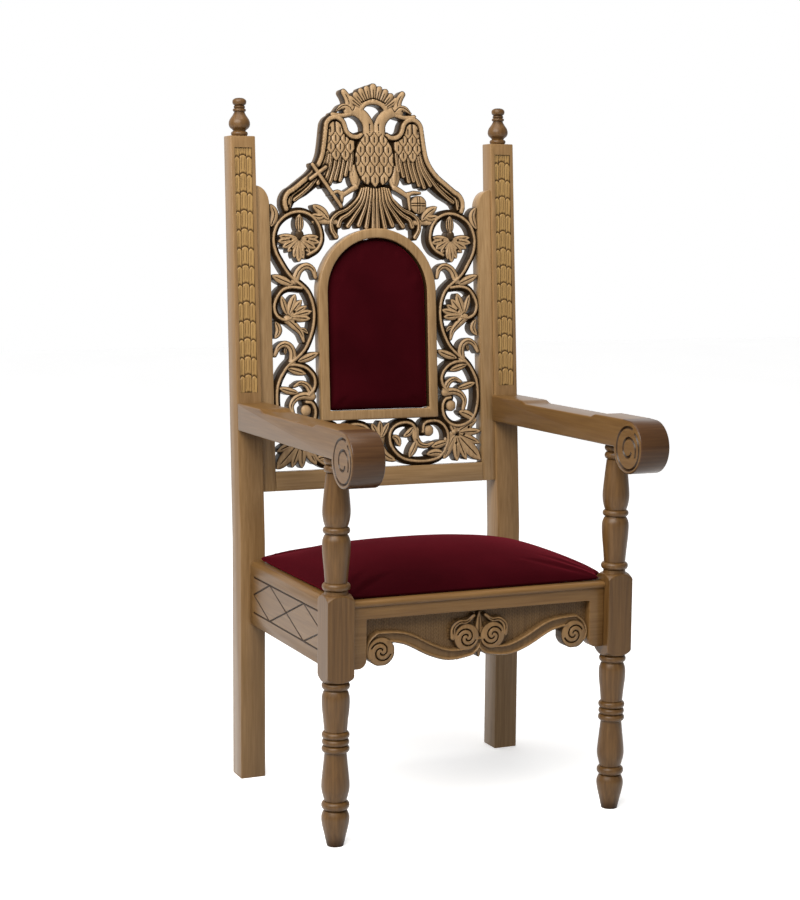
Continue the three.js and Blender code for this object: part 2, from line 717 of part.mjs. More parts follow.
function frontRailGeometry() {
  const { face, thickness, bottom } = frontRail;
  const inner = blockInner - bracket.width;
  const roundX = inner + bracket.round;
  const roundZ = bracket.bottom + bracket.round;
  const shape = new THREE.Shape();
  shape.moveTo(-blockInner, rail.top);
  shape.lineTo(-blockInner, bracket.bottom);
  shape.absarc(-roundX, roundZ, bracket.round, -Math.PI / 2, 0, false);
  shape.lineTo(-inner, bottom);
  shape.lineTo(inner, bottom);
  shape.absarc(roundX, roundZ, bracket.round, Math.PI, Math.PI * 1.5, false);
  shape.lineTo(blockInner, bracket.bottom);
  shape.lineTo(blockInner, rail.top);
  shape.closePath();
  const bead = new THREE.CylinderGeometry(6.5, 6.5, 2 * blockInner, 8).rotateZ(Math.PI / 2);
  bead.translate(0, face + 2, rail.top - 6.6);
  return geometryOf(join([standing(shape, face, thickness), bead]));
}

addPiece("front_rail", frontRailGeometry(), plainWood());

function apronGeometry() {
  const edge = blockInner - bracket.width - clearance;
  const top = frontRail.bottom - clearance;
  const scrollPath = [
    [198, 353, 20, 26, -200, 90], [150, 372], [98, 346], [60, 334], [26, 364, 29, 20, 262, 10],
  ];
  const carved = roofed(0, apron.thickness + 5, apron.thickness + apron.relief);
  const scroll = strip(route(scrollPath, stemStep), (t) => 7 + 4 * Math.sin(Math.PI * t), carved);
  const tongueRoute = route([[0, 412], [0, 372], [0, 326]], stemStep, 4);
  const tongue = strip(tongueRoute, (t) => 3 + 8 * Math.sin(Math.PI * t), carved);
  const lower = [[24, 340], [60, 334], [98, 346], [150, 372], [198, 353]];
  const under = [...lower.map(([x, z]) => [-x, z]).reverse(), [0, 332], ...lower];
  const ground = board([[-edge, top], [-edge, 345], ...under, [edge, 345], [edge, top]], apron.thickness);
  const room = block([-edge, 300, -1], [edge, top, 60]);
  const eyeTop = apron.thickness + 9;
  const eyes = [[198, 353], [26, 364]].map(([x, z]) =>
    new THREE.CylinderGeometry(7, 11, eyeTop, 6).rotateX(Math.PI / 2).translate(x, z, eyeTop / 2));
  const half = [scroll, ...eyes];
  const whole = join([ground, tongue, ...half, ...half.map(mirrored)]).intersect(solidOf(room));
  return geometryOf(whole).rotateX(Math.PI / 2).translate(0, apron.face + apron.thickness, 0);
}

addPiece("carved_apron", apronGeometry(), carvedWood());

function rearRailGeometry() {
  const { front, thickness, bottom } = rearRail;
  const end = overallWidth / 2 - rearPost.side - clearance;
  return block([-end, front, bottom], [end, front + thickness, rail.top]);
}

addPiece("rear_rail", rearRailGeometry(), plainWood());

// Seat cushion, cut out around the blocks of the front posts

function seatCushion() {
  const { halfWidth, front, back, crown } = seat;
  const notchX = frontPost.x - frontPost.side / 2 - 1;
  const notchY = frontPost.y + frontPost.side / 2 + 1;
  const right = [
    [notchX / 3, front], [notchX, front], [notchX, notchY], [halfWidth, notchY],
    [halfWidth, (front + back) / 2], [halfWidth, back], [halfWidth / 2, back],
  ];
  const left = right.map(([x, y]) => [-x, y]).reverse();
  const outline = [[0, back], ...left, ...right];
  const rise = (share) => rail.top + clearance + crown * share;
  const levels = [
    [0.985, rise(0)], [1, rise(0.17)], [0.985, rise(0.35)], [0.93, rise(0.57)], [0.78, rise(0.8)],
    [0.5, rise(0.95)], [0.15, rise(1)],
  ];
  return domed(outline, (front + back) / 2, levels);
}

addPiece("seat_cushion", seatCushion(), velvet());

// The origin goes under the middle of the whole chair
const part = new THREE.Group();
part.add(chair);
const bounds = new THREE.Box3().setFromObject(chair, true);
chair.position.y = -(bounds.min.y + bounds.max.y) / 2;

export default part;
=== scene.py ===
"""A church armchair: turned front posts, raked back, pierced eagle and vine carving, velvet pads."""

import math

import bmesh
import bpy
import numpy as np
from mathutils import Matrix, Vector


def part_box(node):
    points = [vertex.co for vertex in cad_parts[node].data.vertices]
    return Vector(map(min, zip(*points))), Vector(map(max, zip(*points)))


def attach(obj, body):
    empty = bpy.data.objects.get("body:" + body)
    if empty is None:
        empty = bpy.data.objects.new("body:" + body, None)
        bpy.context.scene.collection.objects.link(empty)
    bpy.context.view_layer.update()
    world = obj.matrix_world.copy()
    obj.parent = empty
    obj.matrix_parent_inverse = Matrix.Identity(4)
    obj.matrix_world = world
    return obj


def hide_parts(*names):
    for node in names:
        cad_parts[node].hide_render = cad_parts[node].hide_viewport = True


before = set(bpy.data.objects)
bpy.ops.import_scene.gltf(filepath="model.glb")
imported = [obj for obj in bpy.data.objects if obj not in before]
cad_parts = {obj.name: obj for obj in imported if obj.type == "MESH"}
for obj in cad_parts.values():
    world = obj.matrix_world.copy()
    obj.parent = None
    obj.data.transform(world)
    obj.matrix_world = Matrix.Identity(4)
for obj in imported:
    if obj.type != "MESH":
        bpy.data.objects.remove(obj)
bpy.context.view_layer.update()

# Driving dimensions in millimetres, as in the CAD solids
MM = 0.001
GAP = 0.3
HALF_WIDTH = 316
POST_SIDE = 52.4
POST_HEIGHT = 1300
POST_BEND = 485
POST_SETBACK = 58
POST_TOP_DEPTH = 41.4
RAKE = math.atan(POST_SETBACK / (POST_HEIGHT - POST_BEND))
STRIP_WIDTH, STRIP_BOTTOM, STRIP_TOP, STRIP_TIERS, STRIP_DEPTH = 36, 790, 1279, 13, 4
FRONT_SIDE, FRONT_X, FRONT_Y = 51.8, 288, -444.7
BLOCK_BOTTOM, BLOCK_TOP = 305, 465
ARM_INNER, ARM_BOTTOM, ARM_TOP = 254, 714, 769
ROLL_RADIUS, ROLL_Y = 50, -537
ROLL_Z = ARM_TOP - 1 - ROLL_RADIUS
DISH_FRONT, DISH_BACK, DISH_DEPTH, DISH_RAMP = -403, -125, 6, 14
RAIL_TOP, RAIL_BOTTOM, RAIL_OUTER, RAIL_THICK, RAIL_CHAMFER = 450, 322, 296, 28, 7
FRONT_FACE, FRONT_THICK, FRONT_BOTTOM = -452, 26, 414.5
BRACKET_BOTTOM, BRACKET_WIDTH, BRACKET_ROUND = 324, 31, 16
APRON_FACE, APRON_GROUND, APRON_RELIEF, APRON_BOTTOM = -435, 12, 13, 318
REAR_FRONT, REAR_THICK, REAR_BOTTOM = 8, 34, 345
SEAT_HALF, SEAT_FRONT, SEAT_BACK = 282, -442, -2
FRAME_RECESS, FRAME_THICK, FRAME_INNER, FRAME_BOTTOM, FRAME_RAIL_TOP = 7, 32, 234.5, 588, 627
SHOULDER_BOTTOM, SHOULDER_RISE = 1168, 37
ARCH_OUTER, ARCH_INNER, ARCH_BOTTOM, ARCH_SPRING, ARCH_RECESS = 132, 112, 727, 990, 6
FRET_BACK, FRET_CREST, FRET_EDGE, FRET_BOARD, FRET_TOP = -37, 28, 20, 19, 1422
FRET_MOST_TRIANGLES = 190000
PAD_FRONT, PAD_THICK = 16, 20
BLOCK_INNER = FRONT_X - FRONT_SIDE / 2 - GAP

# The CAD frame has its origin under the middle of the chair; depths here start at the back posts' feet
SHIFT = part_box("rear_post_right")[0].y / MM


# Placing and making pieces


def upright(points):
    """Chair points in millimetres, depth from the back posts' foot, as metres in the CAD frame."""
    return (np.asarray(points, float) + (0, SHIFT, 0)) * MM


def leaned(points):
    """Points on the raked back (across, up the slope, out of it) as metres in the CAD frame."""
    across, up, out = np.asarray(points, float).T
    rise = up - POST_BEND
    depth = rise * math.sin(RAKE) - out * math.cos(RAKE)
    height = POST_BEND + rise * math.cos(RAKE) + out * math.sin(RAKE)
    return upright(np.stack((across, depth, height), 1))


def seen_from_side(points):
    """Points (depth, height, across) as metres in the CAD frame."""
    return upright(np.asarray(points, float)[:, (2, 0, 1)])


def seen_from_front(points):
    """Points (across, height, out towards the front) as metres in the CAD frame."""
    across, height, out = np.asarray(points, float).T
    return upright(np.stack((across, -out, height), 1))


def at_level(outline, level):
    return np.column_stack((outline, np.full(len(outline), float(level))))


def rectangle(left, bottom, right, top):
    return [[left, bottom], [right, bottom], [right, top], [left, top]]


def add_object(name, mesh, material, crease=35):
    mesh.materials.append(material)
    mesh.shade_smooth()
    mesh.set_sharp_from_angle(angle=math.radians(crease))
    piece = bpy.data.objects.new(name, mesh)
    bpy.context.scene.collection.objects.link(piece)
    return piece


def stand_for(piece, slot, *nodes):
    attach(piece, "root")
    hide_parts(*nodes)


def stand_on_both_sides(right, left_name, slot, node):
    """Has a piece stand for the right one of two nodes and its mirror image for the left one."""
    stand_for(right, slot, node + "_right")
    stand_for(mirrored_copy(right, left_name), slot, node + "_left")


def bake(piece):
    """Turns a piece's modifiers into its mesh."""
    graph = bpy.context.evaluated_depsgraph_get()
    shown = piece.evaluated_get(graph)
    result = bpy.data.meshes.new_from_object(shown, preserve_all_data_layers=True, depsgraph=graph)
    old = piece.data
    piece.modifiers.clear()
    piece.data = result
    bpy.data.meshes.remove(old)


def loft_mesh(name, rings):
    """A closed mesh from rings of points that are joined one to the next, with a cap at both ends."""
    count = len(rings[0])
    points = np.concatenate(rings)
    faces = []
    for ring in range(len(rings) - 1):
        low, high = ring * count, (ring + 1) * count
        for i in range(count):
            j = (i + 1) % count
            faces.append((low + i, low + j, high + j, high + i))
    last = (len(rings) - 1) * count
    faces.append(tuple(reversed(range(count))))
    faces.append(tuple(range(last, last + count)))
    mesh = bpy.data.meshes.new(name)
    mesh.from_pydata(points.tolist(), [], faces)
    face_out(mesh)
    return mesh


def face_out(mesh, edge_round=0, segments=2, corner=30):
    """Turns the faces outwards, and rounds the edges that are sharper than the corner angle."""
    work = bmesh.new()
    work.from_mesh(mesh)
    bmesh.ops.recalc_face_normals(work, faces=work.faces)
    if edge_round:
        sharp = [e for e in work.edges if e.is_manifold and e.calc_face_angle() > math.radians(corner)]
        size = edge_round * MM
        bmesh.ops.bevel(work, geom=sharp, offset=size, segments=segments, profile=0.5, affect="EDGES")
    work.to_mesh(mesh)
    work.free()


def prism(name, outline, low, high, place, material, edge_round=1.5, segments=2, crease=35, corner=30):
    """An outline pushed from one level to another, with rounded edges."""
    mesh = loft_mesh(name, [place(at_level(outline, level)) for level in (low, high)])
    face_out(mesh, edge_round, segments, corner)
    return add_object(name, mesh, material, crease)


def mirrored_copy(piece, name):
    """A copy of a piece on the other side of the chair's middle plane."""
    mesh = piece.data.copy()
    mesh.name = name
    mesh.transform(Matrix.Scale(-1, 4, (1, 0, 0)))
    mesh.flip_normals()
    copy = bpy.data.objects.new(name, mesh)
    bpy.context.scene.collection.objects.link(copy)
    return copy


def arc(centre_a, centre_b, radius_start, radius_end, start, end, step=10):
    """Points along an arc whose radius may grow or shrink, with angles in degrees."""
    count = max(2, math.ceil(abs(end - start) / step) + 1)
    angles = np.radians(np.linspace(start, end, count))
    radii = np.linspace(radius_start, radius_end, count)
    return np.column_stack((centre_a + radii * np.cos(angles), centre_b + radii * np.sin(angles)))


def route(chain, fine=6):
    """A smooth line through a chain of points and arcs."""
    links = [arc(*link, step=24) if len(link) == 6 else np.array([link], float) for link in chain]
    rough = np.concatenate(links)
    ends = np.concatenate((2 * rough[:1] - rough[1:2], rough, 2 * rough[-1:] - rough[-2:-1]))
    before, start, end, after = ends[:-3], ends[1:-2], ends[2:-1], ends[3:]
    share = np.linspace(0, 1, fine, endpoint=False)[None, :, None]
    pull = 0.5 * (end - before)[:, None]
    push = 0.5 * (after - start)[:, None]
    first, last = start[:, None], end[:, None]
    cubic = (2 * first - 2 * last + pull + push) * share**3
    square = (-3 * first + 3 * last - 2 * pull - push) * share**2
    spans = cubic + square + pull * share + first
    return np.concatenate((spans.reshape(-1, 2), rough[-1:]))


# Materials


def node_tree(name):
    material = bpy.data.materials.new(name)
    material.use_nodes = True
    tree = material.node_tree
    return material, tree, tree.nodes["Principled BSDF"]


def set_inputs(node, values):
    for name, value in values.items():
        node.inputs[name].default_value = value


def grain_noise(tree, stretch, scale, detail=5.0):
    """Noise drawn out along the grain, from the piece's own coordinates."""
    where = tree.nodes.new("ShaderNodeTexCoord")
    mapping = tree.nodes.new("ShaderNodeMapping")
    mapping.inputs["Scale"].default_value = stretch
    tree.links.new(where.outputs["Object"], mapping.inputs["Vector"])
    noise = tree.nodes.new("ShaderNodeTexNoise")
    set_inputs(noise, {"Scale": scale, "Detail": detail})
    tree.links.new(mapping.outputs["Vector"], noise.inputs["Vector"])
    return noise.outputs["Fac"]


def ramp(tree, value, stops):
    """Colours along a value, as a list of (position, colour)."""
    node = tree.nodes.new("ShaderNodeValToRGB")
    elements = node.color_ramp.elements
    while len(elements) < len(stops):
        elements.new(0.5)
    for element, (position, colour) in zip(elements, stops):
        element.position = position
        element.color = (*colour, 1)
    tree.links.new(value, node.inputs["Fac"])
    return node.outputs["Color"]


def mixed(tree, share, first, second, how="MIX"):
    node = tree.nodes.new("ShaderNodeMix")
    node.data_type = "RGBA"
    node.blend_type = how
    if isinstance(share, float):
        node.inputs[0].default_value = share
    else:
        tree.links.new(share, node.inputs[0])
    tree.links.new(first, node.inputs[6])
    tree.links.new(second, node.inputs[7])
    return node.outputs[2]


def bumped(tree, shader, height, strength, distance):
    bump = tree.nodes.new("ShaderNodeBump")
    set_inputs(bump, {"Strength": strength, "Distance": distance})
    tree.links.new(height, bump.inputs["Height"])
    tree.links.new(bump.outputs["Normal"], shader.inputs["Normal"])


ALONG = {"X": (1.2, 26, 26), "Y": (26, 1.2, 26), "Z": (26, 26, 1.2)}


def wood(name, axis, dark, middle, light, shine=0.22):
    """Stained and varnished wood with its grain along an axis."""
    material, tree, shader = node_tree(name)
    grain = grain_noise(tree, ALONG[axis], 9.0)
    tone = grain_noise(tree, tuple(0.14 * s for s in ALONG[axis]), 6.0, 2.0)
    fine = ramp(tree, grain, [(0.25, dark), (0.5, middle), (0.78, light)])
    broad = ramp(tree, tone, [(0.3, (0.82, 0.79, 0.75)), (0.7, (1.0, 1.0, 1.0))])
    tree.links.new(mixed(tree, 1.0, fine, broad, "MULTIPLY"), shader.inputs["Base Color"])
    varnish = {"Coat Weight": 0.27 * shine, "Coat Roughness": 0.2}
    set_inputs(shader, {"Roughness": 0.34, "Specular IOR Level": shine, **varnish})
    bumped(tree, shader, grain, 0.08, 0.0005)
    return material


def carved(name, glaze, dull, worn_low, worn_high):
    """Carved wood: dull dark glaze in the hollows, rubbed back to a satin tan on the highs."""
    material, tree, shader = node_tree(name)
    grain = grain_noise(tree, ALONG["Z"], 7.0)
    tan = ramp(tree, grain, [(0.3, worn_low), (0.7, worn_high)])
    dark = ramp(tree, grain, [(0.3, glaze), (0.75, dull)])
    attribute = tree.nodes.new("ShaderNodeAttribute")
    attribute.attribute_name = "worn"
    tree.links.new(mixed(tree, attribute.outputs["Fac"], dark, tan), shader.inputs["Base Color"])
    gloss = tree.nodes.new("ShaderNodeMapRange")
    set_inputs(gloss, {"To Min": 0.08, "To Max": 0.35})
    tree.links.new(attribute.outputs["Fac"], gloss.inputs["Value"])
    tree.links.new(gloss.outputs["Result"], shader.inputs["Specular IOR Level"])
    shader.inputs["Roughness"].default_value = 0.4
    bumped(tree, shader, grain, 0.1, 0.0004)
    return material


def velvet(name, deep, lit):
    material, tree, shader = node_tree(name)
    pile = grain_noise(tree, (1, 1, 1), 9.0, 3.0)
    tree.links.new(ramp(tree, pile, [(0.3, deep), (0.7, lit)]), shader.inputs["Base Color"])
    sheen = {"Sheen Weight": 0.3, "Sheen Roughness": 0.4, "Sheen Tint": (0.75, 0.03, 0.075, 1)}
    set_inputs(shader, {"Roughness": 0.95, "Specular IOR Level": 0.03, **sheen})
    bumped(tree, shader, grain_noise(tree, (1, 1, 1), 900.0, 2.0), 0.25, 0.0004)
    return material


# Darker copy of the same stain: painted shade on the side rails and arms
BROWN = ((0.125, 0.062, 0.019), (0.155, 0.081, 0.026), (0.19, 0.104, 0.037))
# Paler, greyer copy of the same stain: painted light and painted sheen on the back frame
BACK_BROWN_PAINTED_LIT = ((0.25, 0.15, 0.066), (0.31, 0.194, 0.091), (0.38, 0.243, 0.12))
# Lighter copy of the same stain: painted light on the seat rails' fronts, standing in for light thrown up
# from below
RAIL_BROWN_PAINTED_LIT = ((0.17, 0.087, 0.028), (0.21, 0.112, 0.038), (0.255, 0.144, 0.053))
# Lighter copy of the same stain: painted light on the back posts
POST_BROWN_PAINTED_LIT = ((0.205, 0.117, 0.047), (0.25, 0.147, 0.062), (0.305, 0.185, 0.083))
DEEP_BROWN = ((0.055, 0.023, 0.008), (0.07, 0.031, 0.011), (0.095, 0.044, 0.016))
# Dark glaze in the cut lines, and also painted shade on the arch frame's inner walls
GLAZE_AND_PAINTED_SHADE_BROWN = ((0.03, 0.015, 0.006), (0.04, 0.02, 0.008), (0.055, 0.028, 0.011))
# Arch frame and stiles: the stain painted paler for the light and sheen on the back
UPRIGHT_WOOD_PAINTED_LIT = wood("wood along Z painted lighter", "Z", *BACK_BROWN_PAINTED_LIT)
# Back posts: the stain painted lighter, as painted light
POST_WOOD_PAINTED_LIT = wood("post wood painted lighter", "Z", *POST_BROWN_PAINTED_LIT)
# Side rails and arms: the stain painted darker, as painted shade
DEPTH_WOOD_PAINTED_SHADE = wood("wood along Y painted darker", "Y", *BROWN)
# Front and back seat rails: the stain painted lighter, as painted light
ACROSS_WOOD_PAINTED_LIT = wood("wood along X painted lighter", "X", *RAIL_BROWN_PAINTED_LIT)
# Back frame rail: the stain painted paler for the light and sheen on the back
BACK_RAIL_WOOD_PAINTED_LIT = wood("back rail wood painted lighter", "X", *BACK_BROWN_PAINTED_LIT)
ROLL_WOOD = wood("rolled end", "X", *DEEP_BROWN)
GROOVE_WOOD = wood("wood in cut lines", "Y", *GLAZE_AND_PAINTED_SHADE_BROWN)
# Painted shade with no shine on the arch frame's inner walls, in the gap round the back pad
REVEAL_WOOD_PAINTED_SHADE = wood("painted shade on inner edge", "Z", *GLAZE_AND_PAINTED_SHADE_BROWN, shine=0.0)
TURNED_WOOD = carved(
    "turned wood", (0.015, 0.006, 0.002), (0.028, 0.012, 0.004), (0.083, 0.038, 0.009), (0.14, 0.07, 0.02)
)
CARVED_WOOD = carved(
    "carved wood", (0.012, 0.006, 0.002), (0.024, 0.0125, 0.0045), (0.3, 0.187, 0.092), (0.43, 0.282, 0.147)
)
STRIP_WOOD = carved(
    "leaf strip wood",
    (0.045, 0.022, 0.007), (0.065, 0.033, 0.011), (0.3, 0.175, 0.058), (0.4, 0.245, 0.086),
)
APRON_WOOD = carved(
    "apron wood", (0.022, 0.011, 0.004), (0.04, 0.021, 0.008), (0.2, 0.11, 0.042), (0.27, 0.155, 0.062)
)
SEAT_VELVET = velvet("seat velvet", (0.022, 0.0009, 0.0022), (0.034, 0.0014, 0.0035))
BACK_VELVET = velvet("back velvet", (0.024, 0.001, 0.0023), (0.036, 0.0016, 0.0036))


# Carved relief as a height map over a flat board


def smooth(low, high, value):
    share = np.clip((value - low) / (high - low), 0, 1)
    return share * share * (3 - 2 * share)


def along(points, x, z):
    """Distance to a line, share of its length at the nearest point, and the side (1 or -1)."""
    distance = np.full(x.shape, 1e9)
    share = np.zeros(x.shape)
    side = np.ones(x.shape)
    runs = np.hypot(*np.diff(points, axis=0).T)
    starts = np.concatenate(([0], np.cumsum(runs)))
    for start, end, before, run in zip(points[:-1], points[1:], starts, runs):
        if run < 1e-6:
            continue
        step = (end - start) / run
        forward = np.clip((x - start[0]) * step[0] + (z - start[1]) * step[1], 0, run)
        off_x = x - start[0] - forward * step[0]
        off_z = z - start[1] - forward * step[1]
        here = np.hypot(off_x, off_z)
        nearer = here < distance
        distance = np.where(nearer, here, distance)
        share = np.where(nearer, (before + forward) / starts[-1], share)
        side = np.where(nearer, np.sign(step[0] * off_z - step[1] * off_x), side)
    return distance, share, side


def mark_worn(mesh, values):
    """Gives each point of a mesh its share of rubbed-off glaze, for the carved materials."""
    attribute = mesh.attributes.new("worn", "FLOAT", "POINT")
    attribute.data.foreach_set("value", values.astype(np.float32))


class Relief:
    """A carved board: how far points lie inside its outline, their level and how far glaze is rubbed off."""

    def __init__(self, low, high, step):
        across = np.arange(low[0], high[0] + step / 2, step)
        up = np.arange(low[1], high[1] + step / 2, step)
        self.x, self.z = np.meshgrid(across, up)
        self.inside = np.full(self.x.shape, -9.0)
        self.level = np.zeros(self.x.shape)
        self.worn = np.zeros(self.x.shape)

    def window(self, points, reach):
        low = np.min(points, axis=0) - reach
        high = np.max(points, axis=0) + reach
        rows = slice(*np.searchsorted(self.z[:, 0], (low[1], high[1])))
        columns = slice(*np.searchsorted(self.x[0], (low[0], high[0])))
        return rows, columns

    def lay(self, part, inside, level, worn, cover=False):
        """Adds a form. Where two meet the higher one shows, or the new one if it covers what is there."""
        shows = (inside > 0) & (cover | (level > self.level[part]))
        self.level[part] = np.where(shows, level, self.level[part])
        self.worn[part] = np.where(shows, worn, self.worn[part])
        self.inside[part] = np.maximum(self.inside[part], inside)

    def stem(self, chain, half=9.0, crest=FRET_CREST, edge=FRET_EDGE, flat=1.7, cover=False):
        """A vine stem: a narrow crest with hollow dark slopes on both sides."""
        points = route(chain)
        part = self.window(points, half)
        distance, _, _ = along(points, self.x[part], self.z[part])
        fall = np.clip((distance - flat) / (half - flat), 0, 1)
        level = edge + (crest - edge) * (1 - fall) ** 1.5
        self.lay(part, half - distance, level, 1 - smooth(flat, flat + 1.5, distance), cover)

    def blade(self, chain, width_at, top, veins=1, drop=3.0, rim=2.4):
        """A leaf or limb along a line: rounded over, with a dark rim and dark veins."""
        points = route(chain)
        part = self.window(points, max(width_at(t) for t in np.linspace(0, 1, 21)))
        distance, share, side = along(points, self.x[part], self.z[part])
        width = np.maximum(np.vectorize(width_at)(share), 0.01)
        level = top - drop * (distance / width) ** 2
        worn = smooth(0.8, rim, width - distance)
        for vein in range(veins):
            offset = ((vein + 1) * 2 / (veins + 1) - 1) * width
            groove = np.clip(1 - np.abs(side * distance - offset) / 1.5, 0, 1)
            groove = groove * smooth(0.04, 0.15, share) * (1 - smooth(0.72, 0.92, share))
            level = level - 2.4 * groove
            worn = worn * (1 - smooth(0.05, 0.5, groove))
        self.lay(part, width - distance, level, worn)

    def leaf(self, chain, half, veins=1, top=26.5):
        self.blade(chain, lambda t: half * (4 * t * (1 - t)) ** 0.6, top, veins)

    def limb(self, chain, start, end, top=27.0, veins=0):
        self.blade(chain, lambda t: start + (end - start) * t, top, veins, 3.5)

    def quill(self, chain, start, end, crest=27.0, edge=21.0):
        """A rounded feather that widens to its tip, with a fine groove and dark lines at its edges."""
        points = route(chain)
        part = self.window(points, max(start, end))
        distance, share, _ = along(points, self.x[part], self.z[part])
        half = start + (end - start) * share
        groove = np.clip(1 - distance / 1.3, 0, 1) * smooth(3.0, 4.5, half)
        level = edge + (crest - edge) * (1 - (distance / half) ** 2) - 1.5 * groove
        worn = (1 - smooth(0.5, 0.74, distance / half)) * (1 - smooth(0.1, 0.5, groove))
        self.lay(part, half - distance, level, worn)

    def disc(self, x, z, radius, top=27.0, worn_to=1.0):
        part = self.window(np.array([[x, z]]), radius)
        distance = np.hypot(self.x[part] - x, self.z[part] - z)
        level = top - 4 * (distance / radius) ** 2
        self.lay(part, radius - distance, level, worn_to * smooth(0.5, 2.2, radius - distance))

    def board(self, outline, level):
        """A flat ground inside an outline, all dark."""
        points = np.array([*outline, outline[0]], float)
        part = self.window(points, 1)
        x, z = self.x[part], self.z[part]
        distance, _, _ = along(points, x, z)
        within = np.zeros(x.shape, bool)
        for (ax, az), (bx, bz) in zip(points[:-1], points[1:]):
            if az != bz:
                crosses = (az > z) != (bz > z)
                within ^= crosses & (x < ax + (z - az) * (bx - ax) / (bz - az))
        inside = np.where(within, distance, -distance)
        self.lay(part, inside, np.full(x.shape, float(level)), np.zeros(x.shape))

    def oval(self, x, z, half_width, half_height, level, dome):
        low, high = [x - half_width, z - half_height], [x + half_width, z + half_height]
        part = self.window(np.array([low, high]), 1)
        reach = np.hypot((self.x[part] - x) / half_width, (self.z[part] - z) / half_height)
        inside = (1 - reach) * half_width
        self.lay(part, inside, level + dome * (1 - reach**2), np.zeros(reach.shape))

    def scale(self, x, tip, ground, width=21.0, height=36.0):
        """A shield-shaped feather scale with a pointed bottom and a short groove, over the one above."""
        part = self.window(np.array([[x - width / 2, tip], [x + width / 2, tip + height]]), 0)
        across = np.abs(self.x[part] - x)
        up = self.z[part] - tip
        half = width / 2 * np.clip(up / (width * 0.55), 0, 1) ** 0.6
        inside = np.minimum(half - across, height - up)
        room = self.inside[part] > 0
        level = ground + 1 + 3 * smooth(0, 4, inside) + 2.2 * (1 - up / height)
        groove = np.clip(1 - across / 1.5, 0, 1) * smooth(7, 10, up) * (1 - smooth(19, 22, up))
        worn = smooth(1.2, 2.4, inside) * (1 - smooth(0.05, 0.4, groove))
        self.lay(part, np.where(room, inside, -1), level - 2 * groove, worn, cover=True)

    def cut(self, chain, half=1.4, depth=2.5):
        """A dark groove along a line."""
        points = route(chain)
        part = self.window(points, half)
        distance, _, _ = along(points, self.x[part], self.z[part])
        bite = np.clip(1 - distance / half, 0, 1)
        self.level[part] -= depth * bite
        self.worn[part] *= 1 - smooth(0.05, 0.45, bite)

    def dimple(self, x, z, radius, depth=5.0):
        """A round dark hollow."""
        part = self.window(np.array([[x, z]]), radius)
        bite = smooth(0, 1.5, radius - np.hypot(self.x[part] - x, self.z[part] - z))
        self.level[part] -= depth * bite
        self.worn[part] *= 1 - bite

    def keep(self, inside):
        """Cuts the board back to where a field is positive."""
        self.inside = np.minimum(self.inside, inside)

    def with_mirror_image(self):
        """The whole board from its right half, which starts at the middle line."""
        whole = Relief((0, 0), (1, 1), 1)
        whole.x = np.hstack((-self.x[:, :0:-1], self.x))
        for name in ("z", "inside", "level", "worn"):
            half = getattr(self, name)
            setattr(whole, name, np.hstack((half[:, :0:-1], half)))
        return whole

    def mesh(self, name, place, back=0.0, base=0.0):
        """The closed mesh: carved front, flat back and walls along the outline, by marching squares."""
        solid = self.inside > 0
        rows, columns = solid.shape
        points, levels, worn = [], [], []

        def add(x, z, level, rubbed):
            start = sum(len(p) for p in points)
            points.append(np.column_stack((x, z)))
            levels.append(level)
            worn.append(rubbed)
            return np.arange(start, start + len(x))

        corner = np.full(solid.shape, -1)
        corner[solid] = add(self.x[solid], self.z[solid], self.level[solid], self.worn[solid])
        crossings = []
        for shift in ((0, 1), (1, 0)):
            first = tuple(slice(0, n - s) for n, s in zip(solid.shape, shift))
            second = tuple(slice(s, None) for s in shift)
            change = solid[first] != solid[second]
            near, far = self.inside[first][change], self.inside[second][change]
            share = np.clip(near / (near - far), 0.08, 0.92)
            x = self.x[first][change] * (1 - share) + self.x[second][change] * share
            z = self.z[first][change] * (1 - share) + self.z[second][change] * share
            level = np.where(near > 0, self.level[first][change], self.level[second][change])
            rubbed = np.where(near > 0, self.worn[first][change], self.worn[second][change])
            ids = np.full(change.shape, -1)
            ids[change] = add(x, z, level, rubbed)
            crossings.append(ids)
        flat, upright_edges = crossings
        around = [
            corner[:-1, :-1], corner[:-1, 1:], corner[1:, 1:], corner[1:, :-1],
            flat[:-1], upright_edges[:, 1:], flat[1:], upright_edges[:, :-1],
        ]
        kind = sum((around[i] >= 0) * (1 << i) for i in range(4))
        count = sum(len(p) for p in points)
        loops, totals = [], []

        def add_faces(faces):
            loops.append(faces.ravel())
            totals.append(np.full(len(faces), faces.shape[1]))

        for case in range(1, 16):
            cells = kind == case
            ring = []
            for i in range(4):
                here, following = case >> i & 1, case >> (i + 1) % 4 & 1
                ring += [i] * here + [i + 4] * (here != following)
            faces = np.column_stack([around[i][cells] for i in ring])
            add_faces(faces)
            add_faces(faces[:, ::-1] + count)
            for p, q in zip(ring, ring[1:] + ring[:1]):
                if p > 3 and q > 3:
                    a, b = around[p][cells], around[q][cells]
                    add_faces(np.column_stack((b, a, a + count, b + count)))
        flat_points = np.concatenate(points)
        front = np.column_stack((flat_points, np.concatenate(levels) + base))
        behind = np.column_stack((flat_points, np.full(count, back + base)))
        mesh = bpy.data.meshes.new(name)
        mesh.vertices.add(2 * count)
        mesh.vertices.foreach_set("co", place(np.concatenate((front, behind))).ravel())
        loops, totals = np.concatenate(loops), np.concatenate(totals)
        mesh.loops.add(len(loops))
        mesh.loops.foreach_set("vertex_index", loops.astype(np.int32))
        mesh.polygons.add(len(totals))
        mesh.polygons.foreach_set("loop_start", (np.cumsum(totals) - totals).astype(np.int32))
        mesh.update(calc_edges=True)
        back_worn = 0.35
        mark_worn(mesh, np.concatenate((*worn, np.full(count, back_worn))))
        return mesh


